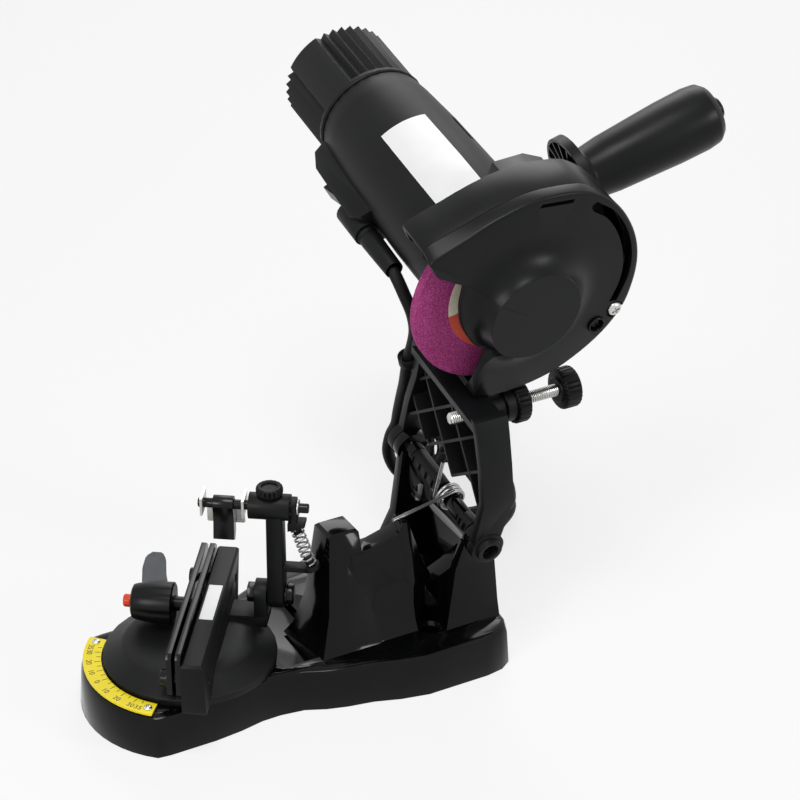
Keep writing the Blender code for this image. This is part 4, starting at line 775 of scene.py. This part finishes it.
def crossHead(radius, height):
    # a domed head with a cross recess, standing on z = 0
    profile = [(height * along, radius * reach) for along, reach in screwHead["profile"]]
    head = meshOf(turnedShape(profile, screwHead["steps"]), radians(50.0))
    head.transform(Matrix.Rotation(radians(-90.0), 4, "Y"))
    slot = Matrix.Diagonal((radius * screwHead["slotLength"], radius * screwHead["slotWidth"],
                            height * screwHead["slotDepth"], 1.0))
    for turn in (0.0, pi / 2.0):
        bar = bmesh.new()
        bmesh.ops.create_cube(bar, size=1.0, matrix=Matrix.Translation((0.0, 0.0, height))
                              @ Matrix.Rotation(turn, 4, "Z") @ slot)
        head = carved(head, meshOf(bar))
    return head


def carved(mesh, tool):
    # mesh with the tool taken away
    body = bpy.data.objects.new("carveBody", mesh)
    cutter = bpy.data.objects.new("carveTool", tool)
    bpy.context.scene.collection.objects.link(cutter)
    taken = body.modifiers.new("taken", "BOOLEAN")
    taken.operation = "DIFFERENCE"
    taken.solver = "EXACT"
    taken.object = cutter
    result = plainMesh(body)
    bpy.data.objects.remove(cutter)
    result.shade_smooth()
    result.set_sharp_from_angle(angle=radians(38.0))
    return result


# Depth stop: threaded rod and its two ribbed knobs

depthStop = {"across": 0.0080, "up": 0.0576, "radius": 0.0031, "pitch": 0.0010, "depth": 0.00045, "tip": -0.0095,
             "end": 0.0590, "tipChamfer": 0.0007, "knobAt": 0.0515, "lockAt": 0.0240,
             "crest": 1.25,
             "knob": {"radius": 0.0104, "thickness": 0.0088, "teeth": 26, "bore": 0.0029, "hubRadius": 0.0066,
                      "hubLength": 0.0012},
             "lock": {"radius": 0.0108, "thickness": 0.0075, "teeth": 26, "bore": 0.0033, "hubRadius": 0.0088,
                      "hubLength": 0.0055}}
knobShape = {"hubEdge": 0.0006, "seam": 0.0002, "shoulder": 0.0012, "lipAt": 0.0006, "farLipAt": 0.0005,
             "lip": 0.0003, "lipShare": 0.6, "ribsFrom": 0.0013, "rim": 0.0003, "dishOuter": 0.62,
             "dishInner": 0.58, "dishDepth": 0.0011, "landWidth": 0.15, "toothSteps": 8}


def threaded(radius, pitch, depth, start, end, sides=28, rows=7):
    # a rod along +X with a cut thread and chamfered tip
    work = bmesh.new()
    count = int((end - start) / pitch * rows)
    rings = []
    for index in range(count + 1):
        along = start + (end - start) * index / count
        ring = []
        for side in range(sides):
            turn = side / sides
            wave = abs(((along / pitch - turn) % 1.0) * 2.0 - 1.0)
            reach = radius - depth * (1.0 - min(1.0, wave * depthStop["crest"]))
            reach = min(reach, radius - depthStop["tipChamfer"] + (along - start))
            ring.append(work.verts.new((along, reach * cos(2.0 * pi * turn), reach * sin(2.0 * pi * turn))))
        rings.append(ring)
    joinRings(work, rings, True)
    return work


def ribbedKnob(radius, thickness, teeth, bore, hubRadius, hubLength, toothDepth=0.0007):
    # a ribbed knob about +X, hub towards -X; its profile is (along, radius, share of the ribs' depth)
    work = bmesh.new()
    shape = knobShape
    far = thickness
    profile = [(-hubLength, hubRadius - shape["hubEdge"], 0.0), (shape["hubEdge"] - hubLength, hubRadius, 0.0),
               (-shape["seam"], hubRadius, 0.0), (0.0, radius - shape["shoulder"], 0.0),
               (shape["lipAt"], radius - shape["lip"], shape["lipShare"]), (shape["ribsFrom"], radius, 1.0),
               (far - shape["ribsFrom"], radius, 1.0), (far - shape["farLipAt"], radius - shape["lip"],
                                                        shape["lipShare"]),
               (far, radius - shape["shoulder"], 0.0), (far - shape["rim"], radius * shape["dishOuter"], 0.0),
               (far - shape["dishDepth"], radius * shape["dishInner"], 0.0), (far - shape["dishDepth"], bore, 0.0),
               (-hubLength, bore, 0.0)]
    steps = teeth * shape["toothSteps"]
    rings = []
    for along, reach, share in profile:
        ring = []
        for step in range(steps):
            turn = 2.0 * pi * step / steps
            groove = max(0.0, cos(turn * teeth) - shape["landWidth"]) / (1.0 - shape["landWidth"])
            cut = toothDepth * share * groove ** 0.5
            ring.append(work.verts.new((along, (reach - cut) * cos(turn), (reach - cut) * sin(turn))))
        rings.append(ring)
    joinRings(work, rings + rings[:1])
    return work


def addDepthStop():
    forward = Matrix.Rotation(radians(90.0), 4, "Z")
    axis = hingePlace @ Matrix.Translation((depthStop["across"], 0.0, depthStop["up"])) @ forward
    keep(meshOf(threaded(depthStop["radius"], depthStop["pitch"], depthStop["depth"], depthStop["tip"],
                         depthStop["end"]), radians(70.0)), "depthRod", zincPlate, "depth_stop",
         ("depth_screw",), axis)
    keep(meshOf(ribbedKnob(**depthStop["knob"])), "depthKnob", mouldedBlack, "depth_stop",
         ("depth_knob",), axis @ Matrix.Translation((depthStop["knobAt"], 0.0, 0.0)))
    keep(meshOf(ribbedKnob(**depthStop["lock"])), "lockKnob", mouldedBlack, "lock",
         ("lock_knob",), axis @ Matrix.Translation((depthStop["lockAt"], 0.0, 0.0)))


# Torsion spring

torsion = {"radius": 0.0064, "wire": 0.00095, "curls": 2.75, "pitch": 0.0024, "start": 0.0016, "steps": 120,
           "seat": [(0.0132, -0.0325, 0.0049), (0.0138, -0.0370, 0.0045)],
           "ribs": [(0.0010, -0.0042, 0.0215), (0.0012, -0.0050, 0.0140)]}


def addTorsionSpring():
    line = [Vector(point) for point in torsion["ribs"]]
    for index in range(torsion["steps"] + 1):
        share = index / torsion["steps"]
        angle = pi + 2.0 * pi * torsion["curls"] * share
        line.append(Vector((torsion["start"] + torsion["pitch"] * torsion["curls"] * share,
                            torsion["radius"] * cos(angle), torsion["radius"] * sin(angle))))
    line += [Vector(point) for point in torsion["seat"]]
    keep(meshOf(sweep(line, torsion["wire"], 12), radians(60.0)), "torsionWire", springWire, "root",
         ("torsion_spring",), hingePlace)


# Bare label on the motor, which follows the housing's taper

motorLabel = {"start": -0.0975, "end": -0.0330, "from": radians(86.0), "to": radians(131.0), "lift": 0.00003,
              "thick": 0.00016, "rows": 24, "columns": 18,
              "taper": [(-0.1280, 0.0300), (-0.1000, 0.0318), (-0.0600, 0.0328), (-0.0168, 0.0325)]}


def motorRadius(along):
    taper = motorLabel["taper"]
    for (start, low), (end, high) in zip(taper, taper[1:]):
        if along <= end:
            return low + (high - low) * (along - start) / (end - start)
    return taper[-1][1]


def addMotorLabel():
    work = bmesh.new()
    rows, columns = motorLabel["rows"], motorLabel["columns"]
    layers = []
    for lift in (motorLabel["lift"], motorLabel["thick"]):
        grid = []
        for row in range(rows + 1):
            along = motorLabel["start"] + (motorLabel["end"] - motorLabel["start"]) * row / rows
            reach = motorRadius(along) + lift
            line = []
            for column in range(columns + 1):
                angle = motorLabel["from"] + (motorLabel["to"] - motorLabel["from"]) * column / columns
                line.append(work.verts.new((along, reach * cos(angle), reach * sin(angle))))
            grid.append(line)
        layers.append(grid)
    for grid in layers:
        for row in range(rows):
            for column in range(columns):
                work.faces.new((grid[row][column], grid[row + 1][column], grid[row + 1][column + 1],
                                grid[row][column + 1]))
    edge = [(0, column) for column in range(columns)] + [(row, columns) for row in range(rows)]
    edge += [(rows, column) for column in range(columns, 0, -1)] + [(row, 0) for row in range(rows, 0, -1)]
    for (row, column), (nextRow, nextColumn) in zip(edge, edge[1:] + edge[:1]):
        work.faces.new((layers[0][row][column], layers[0][nextRow][nextColumn], layers[1][nextRow][nextColumn],
                        layers[1][row][column]))
    keep(meshOf(work), "motorLabel", whiteLabel, "head", (), motorPlace)


addWheel()
addScale()
addDepthStop()
addTorsionSpring()
addMotorLabel()
print("details made")


# Guard's front cover: crisp rim, smooth bell, flat cap, deep groove, slot and screw seats

guardFace = {
    "seat": [(-0.0550, 0.0390), (-0.0530, 0.0425), (-0.0370, 0.0490), (-0.0220, 0.0552), (-0.0020, 0.0602),
             (0.0210, 0.0590), (0.0320, 0.0545), (0.0450, 0.0440), (0.0550, 0.0290), (0.0600, 0.0140),
             (0.0612, -0.0020), (0.0575, -0.0200), (0.0460, -0.0365), (0.0260, -0.0505), (0.0050, -0.0562),
             (-0.0120, -0.0560), (-0.0200, -0.0525)],
    "edge": [(-0.0550, 0.0365), (-0.0530, 0.0400), (-0.0370, 0.0478), (-0.0230, 0.0548), (-0.0020, 0.0608),
             (0.0190, 0.0600), (0.0330, 0.0545), (0.0455, 0.0440), (0.0555, 0.0290), (0.0608, 0.0140),
             (0.0618, -0.0020), (0.0580, -0.0200), (0.0462, -0.0362), (0.0260, -0.0500), (0.0050, -0.0556),
             (-0.0120, -0.0555), (-0.0200, -0.0520)],
    "window": [(-0.0214, -0.0420), (-0.0178, -0.0275), (-0.0192, -0.0230), (-0.0250, -0.0183), (-0.0326, -0.0055),
               (-0.0356, 0.0075), (-0.0354, 0.0196), (-0.0385, 0.0218), (-0.0440, 0.0249), (-0.0500, 0.0284)],
    "rim": [(0.0057, 0.0), (0.0122, 0.0), (0.0130, 0.0003), (0.0134, 0.0008), (0.0136, 0.0016)],
    "bell": [(0.0138, 1.0), (0.0142, 0.80), (0.0151, 0.60), (0.0166, 0.41), (0.0187, 0.25), (0.0212, 0.12),
             (0.0237, 0.03), (0.0250, 0.0), (0.0252, -0.012), (0.0252, -0.06)],
    "lip": 0.0114,
    "foot": 0.0400,
    "cap": 0.0240,
    "wall": 0.0024,
    "windowTrim": 0.0007,
    "shoulder": 0.0110,
    "hollow": [(0.0116, 0.95), (0.0130, 0.55), (0.0165, 0.22), (0.0215, 0.0), (0.0226, -0.10)],
    "hollowTop": 0.0227,
    "bellFrom": 0.985,
    "hollowFrom": 0.98,
    "capRise": 0.0001,
    "hollowWindow": 0.0113,
    "grooveInner": [(0.0285, 0.0500), (0.0300, 0.0462), (0.0392, 0.0392), (0.0474, 0.0268), (0.0526, 0.0115),
                    (0.0528, -0.0015), (0.0492, -0.0137)],
    "grooveOuter": [(0.0310, 0.0516), (0.0340, 0.0494), (0.0428, 0.0425), (0.0516, 0.0296), (0.0568, 0.0150),
                    (0.0576, 0.0010), (0.0535, -0.0138)],
    "slot": [(-0.0010, 0.0560), (0.0005, 0.0580), (0.0182, 0.0566), (0.0172, 0.0545)],
    "screw": (0.0535, -0.0195),
    "blindScrew": (-0.0100, 0.0532),
    "well": (0.0440, -0.0262),
    "above": 0.0200,
    "grooveFloor": 0.0080,
    "slotFloor": 0.0092,
    "wellCut": (0.0046, 0.0120),
    "screwCut": (0.0048, 0.0124),
    "screwTurn": radians(25.0),
    "screwHead": (0.0126, 0.0038, 0.0024),  # seat across the machine, radius, height
    "blindScrewHead": (0.0086, 0.0020, 0.0016),
    "wellHead": (0.0121, 0.0028, 0.0016),
    "collar": [(0.0122, 0.0034), (0.0122, 0.0045), (0.0146, 0.0045), (0.0149, 0.0042), (0.0149, 0.0036),
               (0.0146, 0.0034)],
}


def drawnIn(points, distance):
    # an open line moved inwards, easing to nothing at its ends
    moved = []
    last = len(points) - 1
    for index, point in enumerate(points):
        ahead = (points[min(index + 1, last)] - points[max(index - 1, 0)]).normalized()
        ease = min(1.0, index / 4.0, (last - index) / 4.0)
        moved.append(Vector((point.x + ahead.y * distance * ease, point.y - ahead.x * distance * ease)))
    return moved


def flatLine(points, steps):
    return [Vector((point.x, point.y)) for point in smoothLine([(*point, 0.0) for point in points], steps)]


def prism(outline, low, high):
    # an upright solid between two distances across the machine
    work = bmesh.new()
    joinRings(work, [[work.verts.new((across, *point)) for point in outline] for across in (low, high)], True)
    return work


def coverShape():
    edge = flatLine(guardFace["edge"], 5)
    seat = flatLine(guardFace["seat"], 5)
    window = flatLine(guardFace["window"], 5)
    cap, foot = guardFace["cap"], guardFace["foot"]
    loops = []
    for across, step in guardFace["rim"]:
        trim = min(step, guardFace["windowTrim"])
        middle = [Vector((point.x + trim, point.y)) for point in window]
        line = drawnIn(edge, step) if loops else seat
        loops.append([(across, point) for point in line]
                     + [(max(across, guardFace["lip"]), point) for point in middle])
    last = [point for across, point in loops[-1]]
    for across, share in guardFace["bell"]:
        ring = []
        for point in last:
            reach = min(point.length * guardFace["bellFrom"], foot)
            ring.append((across, point.normalized() * (cap + (reach - cap) * share)))
        loops.append(ring)
    work = bmesh.new()
    outer = [[work.verts.new((across, point.x, point.y)) for across, point in loop] for loop in loops]
    count = len(last)
    middle = work.verts.new((loops[-1][0][0] + guardFace["capRise"], 0.0, 0.0))
    joinRings(work, outer)
    for index in range(count):
        work.faces.new((outer[-1][index], outer[-1][(index + 1) % count], middle))
    # the hollow behind it, a wall's thickness in
    wall = guardFace["wall"]
    shrunk = drawnIn(edge, wall) + [Vector((point.x + wall, point.y)) for point in window]
    inner = [[work.verts.new((across if index < len(edge) else guardFace["hollowWindow"], point.x, point.y))
              for index, point in enumerate(shrunk)] for across in (guardFace["rim"][0][0], guardFace["shoulder"])]
    for across, share in guardFace["hollow"]:
        ring = []
        for point in shrunk:
            reach = min(point.length * guardFace["hollowFrom"], foot)
            ring.append(work.verts.new((across, *(point.normalized() * (cap - wall + (reach - cap + wall) * share)))))
        inner.append(ring)
    deep = work.verts.new((guardFace["hollowTop"], 0.0, 0.0))
    for ring, following in zip(inner, inner[1:]):
        for index in range(count):
            after = (index + 1) % count
            work.faces.new((ring[index], following[index], following[after], ring[after]))
    for index in range(count):
        work.faces.new((inner[-1][index], deep, inner[-1][(index + 1) % count]))
    for index in range(count):
        after = (index + 1) % count
        work.faces.new((outer[0][index], inner[0][index], inner[0][after], outer[0][after]))
    return meshOf(work, radians(32.0))


def socketRod(radius, low, high, spot, steps=40):
    # a round cutter from low to high across the machine
    rod = turnedShape([(low, 0.0), (low, radius), (high, radius), (high, 0.0)], steps)
    bmesh.ops.translate(rod, verts=rod.verts, vec=(0.0, *spot))
    return meshOf(rod)


def addGuardCover():
    cover = coverShape()
    groove = flatLine(guardFace["grooveInner"], 6) + list(reversed(flatLine(guardFace["grooveOuter"], 6)))
    above = guardFace["above"]
    for tool in (meshOf(prism(groove, guardFace["grooveFloor"], above)),
                 meshOf(prism(guardFace["slot"], guardFace["slotFloor"], above)),
                 socketRod(*guardFace["wellCut"], above, guardFace["well"]),
                 socketRod(*guardFace["screwCut"], above, guardFace["screw"])):
        cover = carved(cover, tool)
    keep(cover, "guardCover", mouldedSatin, "head", ("guard_cover",), motorPlace)
    for name, finish, spot, replaced in (("guard_screw_1", zincPlate, "screw", ("guard_screw_1",)),
                                         ("guard_screw_2", blackedSteel, "blindScrew", ("guard_screw_2",)),
                                         ("guard_stud", blackedSteel, "well", ())):
        seat, radius, height = guardFace[spot + "Head"]
        place = (motorPlace @ Matrix.Translation((seat, *guardFace[spot])) @ Matrix.Rotation(radians(90.0), 4, "Y")
                 @ Matrix.Rotation(guardFace["screwTurn"], 4, "Z"))
        keep(crossHead(radius, height), name + "Head", finish, "head", replaced, place)
    collar = meshOf(turnedShape(guardFace["collar"], 48, True))
    keep(collar, "screwCollar", mouldedSatin, "head", (),
         motorPlace @ Matrix.Translation((0.0, *guardFace["well"])))


# Ribs round the motor side of the hand disc

handDisc = {"count": 16, "inner": 0.0122, "outer": 0.0218, "width": 0.0011, "height": 0.0030,
            "start": (-0.0410, 0.05624, 0.01784), "tilt": radians(-72.4), "lift": 0.0001,
            "rim": [(-0.0014, 0.0214), (-0.0014, 0.0231), (0.0034, 0.0232), (0.0034, 0.0214)]}


def radialRibs():
    # equal bars round a circle, turned to point outwards
    shape = ShapeTree("radialRibs", {"Finish": "Material", "Count": "Int", "Reach": "Float", "Rib": "Vector"})
    circle = shape.node("GeometryNodeMeshCircle", sockets={"Vertices": shape.given("Count"),
                                                           "Radius": shape.given("Reach")})
    bar = shape.node("GeometryNodeMeshCube", sockets={"Size": shape.given("Rib")})
    angle = shape.value(shape.node("GeometryNodeInputIndex")) * (2.0 * pi) / shape.given("Count")
    spread = shape.node("GeometryNodeInstanceOnPoints", sockets={
        "Points": shape.value(circle),
        "Instance": shape.value(bar),
        "Rotation": shape.vector(0.0, 0.0, angle)})
    return shape.finished(shape.value(spread), {
        "Finish": mouldedSatin, "Count": handDisc["count"], "Reach": (handDisc["inner"] + handDisc["outer"]) / 2.0,
        "Rib": (handDisc["outer"] - handDisc["inner"], handDisc["width"], handDisc["height"])})


def addDiscRibs():
    place = (motorPlace @ Matrix.Translation(handDisc["start"]) @ Matrix.Rotation(handDisc["tilt"], 4, "X")
             @ Matrix.Translation((0.0, 0.0, handDisc["lift"])))
    keep(radialRibs(), "discRibs", mouldedSatin, "head", (), place)
    keep(meshOf(turnedShape(handDisc["rim"], 96, True)), "discRim", mouldedSatin, "head", (),
         place @ Matrix.Rotation(radians(-90.0), 4, "Y"))


addGuardCover()
addDiscRibs()
print("guard and handle made")


# Clamp lever with its thin wing, chain stop's open bracket and low knob, bare label on the vise

clampLever = {"across": -0.012, "back": -0.0062, "up": 0.0440, "wingRise": 0.26, "wingLow": 0.0010,
              "wingThick": 0.0030, "wingEdge": 0.0007, "flats": 6.0, "flatDepth": 0.055, "flatFrom": 0.0080,
              "flatTo": 0.0225,
              "hub": [(0.0030, 0.0042), (0.0030, 0.0096), (0.0037, 0.0106), (0.0118, 0.0106), (0.0170, 0.0099),
                      (0.0218, 0.0090), (0.0232, 0.0083), (0.0238, 0.0070), (0.0238, 0.0037), (0.0150, 0.0037),
                      (0.0150, 0.0042)],
              "wing": [(-0.0060, 0.0062), (-0.0060, 0.0205), (-0.0230, 0.0232), (-0.0305, 0.0228),
                       (-0.0335, 0.0200), (-0.0335, 0.0148), (-0.0295, 0.0124), (-0.0200, 0.0106)]}
chainStop = {"across": -0.025, "up": 0.0950, "half": 0.0062, "plate": 0.0012, "front": 0.0038, "back": 0.0252,
             "top": 0.0056, "low": -0.0044, "webHeight": 0.0030, "tongue": -0.0138, "tongueFront": 0.0052,
             "tongueBack": 0.0238, "overlap": 0.0008, "dialAlong": 0.0370, "dialUp": 0.0069,
             "dial": {"radius": 0.0066, "thickness": 0.0046, "teeth": 18, "bore": 0.0003, "hubRadius": 0.0034,
                      "hubLength": 0.0040, "toothDepth": 0.0008}}


def softBox(work, low, high):
    # a plate between two corners, joined into the given mesh
    size = Vector(high) - Vector(low)
    made = bmesh.ops.create_cube(work, size=1.0)["verts"]
    bmesh.ops.scale(work, verts=made, vec=size)
    bmesh.ops.translate(work, verts=made, vec=(Vector(low) + Vector(high)) / 2.0)


def eased(work, width=0.0004):
    bmesh.ops.bevel(work, geom=list(work.edges), offset=width, segments=2, affect="EDGES", clamp_overlap=True)
    return meshOf(work, radians(45.0))


def addClampLever():
    spot = Matrix.Translation((clampLever["across"], clampLever["back"], clampLever["up"]))
    hub = turnedShape(clampLever["hub"], 96, True)
    for vert in hub.verts:
        reach = Vector((vert.co.y, vert.co.z))
        if reach.length > clampLever["flatFrom"] and vert.co.x < clampLever["flatTo"]:
            turn = atan2(reach.y, reach.x)
            flat = 1.0 - clampLever["flatDepth"] * max(0.0, cos(clampLever["flats"] * turn)) ** 2
            vert.co.y *= flat
            vert.co.z *= flat
    keep(meshOf(hub, radians(28.0)), "leverHub", mouldedSatin, "lever", ("lever_hub",),
         visePlace @ spot @ Matrix.Rotation(radians(-90.0), 4, "Z"))
    rise, low, thick = clampLever["wingRise"], clampLever["wingLow"], clampLever["wingThick"]
    wing = bmesh.new()
    near = [wing.verts.new((x, -along, -low - x * rise)) for x, along in clampLever["wing"]]
    far = [wing.verts.new((x, -along, -low - x * rise - thick)) for x, along in clampLever["wing"]]
    for index in range(len(near)):
        after = (index + 1) % len(near)
        wing.faces.new((near[index], near[after], far[after], far[index]))
    wing.faces.new(near)
    wing.faces.new(list(reversed(far)))
    keep(eased(wing, clampLever["wingEdge"]), "leverWing", greyPlastic, "lever",
         (), visePlace @ spot)


def addChainStop():
    across, up, half = chainStop["across"], chainStop["up"], chainStop["half"]
    work = bmesh.new()
    for along in (chainStop["front"], chainStop["back"] - chainStop["plate"]):
        softBox(work, (across - half, along, up + chainStop["low"]),
                (across + half, along + chainStop["plate"], up + chainStop["top"]))
    softBox(work, (across - half, chainStop["front"], up + chainStop["low"]),
            (across - half + chainStop["plate"], chainStop["back"], up + chainStop["low"] + chainStop["webHeight"]))
    softBox(work, (across - half, chainStop["tongueFront"], up + chainStop["tongue"]),
            (across - half + chainStop["plate"], chainStop["tongueBack"],
             up + chainStop["low"] + chainStop["overlap"]))
    keep(eased(work), "stopChannel", zincPlate, "chain_stop", ("stop_bracket",),
         visePlace)
    keep(meshOf(ribbedKnob(**chainStop["dial"])), "stopDial", mouldedBlack, "stop_clamp",
         ("stop_knob",),
         visePlace @ Matrix.Translation((across, chainStop["dialAlong"], up + chainStop["dialUp"]))
         @ Matrix.Rotation(radians(-90.0), 4, "Y"))


viseLabel = {"outline": [(-0.0180, 0.0073), (0.0116, 0.0073), (0.0116, 0.0140), (-0.0180, 0.0140)],
             "low": 0.05201, "high": 0.05216}


def addViseLabel():
    label = slab(viseLabel["outline"], viseLabel["low"], viseLabel["high"])
    keep(meshOf(label), "viseLabel", whiteLabel, "swivel", (), visePlace)


addClampLever()
addChainStop()
addViseLabel()
print("vise details made")


# Light: a white room behind, soft boxes above and beside

lamps = {
    "above": {"position": (0.35, -0.25, 1.35), "aim": (0.0, 0.0, 0.08), "size": 0.50, "power": 9.0},
    "left": {"position": (0.55, -1.25, 0.70), "aim": (0.0, 0.0, 0.10), "size": 0.42, "power": 7.0},
    "right": {"position": (1.10, 0.85, 0.75), "aim": (0.0, 0.0, 0.12), "size": 0.36, "power": 5.5},
    "rear": {"position": (-0.9, 0.6, 1.0), "aim": (0.0, 0.0, 0.15), "size": 0.8, "power": 7.0},
}


def addLamp(name, values):
    data = bpy.data.lights.new(name, "AREA")
    data.shape = "SQUARE"
    data.size = values["size"]
    data.energy = values["power"]
    made = bpy.data.objects.new(name, data)
    bpy.context.scene.collection.objects.link(made)
    aim = Vector(values["aim"]) - Vector(values["position"])
    made.matrix_world = (Matrix.Translation(values["position"])
                         @ aim.to_track_quat("-Z", "Y").to_matrix().to_4x4())


def seenDirectly(tree):
    # one where the camera, a reflection or a clear body looks straight at it
    paths = tree.node("ShaderNodeLightPath")
    straight, gloss, clear = (tree.value(paths, name)
                              for name in ("Is Camera Ray", "Is Glossy Ray", "Is Transmission Ray"))
    return straight.calculate("MAXIMUM", gloss).calculate("MAXIMUM", clear)


room = {"color": (1.0, 1.0, 1.0, 1.0), "light": 0.14, "seen": 0.86}  # seen is added where the room itself is seen


def addRoom():
    world = bpy.data.worlds.new("whiteRoom")
    bpy.context.scene.world = world
    world.use_nodes = True
    tree = Tree(world.node_tree)
    backdrop = next(node for node in world.node_tree.nodes if node.type == "BACKGROUND")
    tree.put(backdrop.inputs["Color"], room["color"])
    tree.put(backdrop.inputs["Strength"], seenDirectly(tree) * room["seen"] + room["light"])


floorPlate = {"reach": 4.0, "drop": 0.0002, "glow": 0.75, "color": (0.84, 0.84, 0.84), "fleck": (0.80, 0.80, 0.80),
              "fleckShare": 0.1, "grain": (6.0, 2.0), "rough": 0.8, "shine": 0.1}


def addFloor():
    work = bmesh.new()
    bmesh.ops.create_grid(work, x_segments=1, y_segments=1, size=floorPlate["reach"])
    bmesh.ops.translate(work, verts=work.verts, vec=(0.0, 0.0, -floorPlate["drop"]))
    finish = Finish("paleFloor")
    grain = finish.noise(*floorPlate["grain"])
    finish.give({
        "Base Color": finish.between(grain * floorPlate["fleckShare"], floorPlate["color"], floorPlate["fleck"]),
        "Roughness": floorPlate["rough"],
        "Specular IOR Level": floorPlate["shine"]})
    glow = finish.node("ShaderNodeEmission", sockets={"Color": (1.0, 1.0, 1.0, 1.0), "Strength": 1.0})
    blend = finish.node("ShaderNodeMixShader", sockets={
        0: seenDirectly(finish) * floorPlate["glow"], 1: finish.value(finish.shader), 2: finish.value(glow)})
    output = next(node for node in finish.tree.nodes if node.type == "OUTPUT_MATERIAL")
    finish.put(output.inputs["Surface"], finish.value(blend))
    mesh = bpy.data.meshes.new("floorPlate")
    work.to_mesh(mesh)
    work.free()
    mesh.materials.append(finish.material)
    made = bpy.data.objects.new("floorPlate", mesh)
    bpy.context.scene.collection.objects.link(made)


for name, values in lamps.items():
    addLamp(name + "Lamp", values)
addRoom()
addFloor()
print("scene ready")
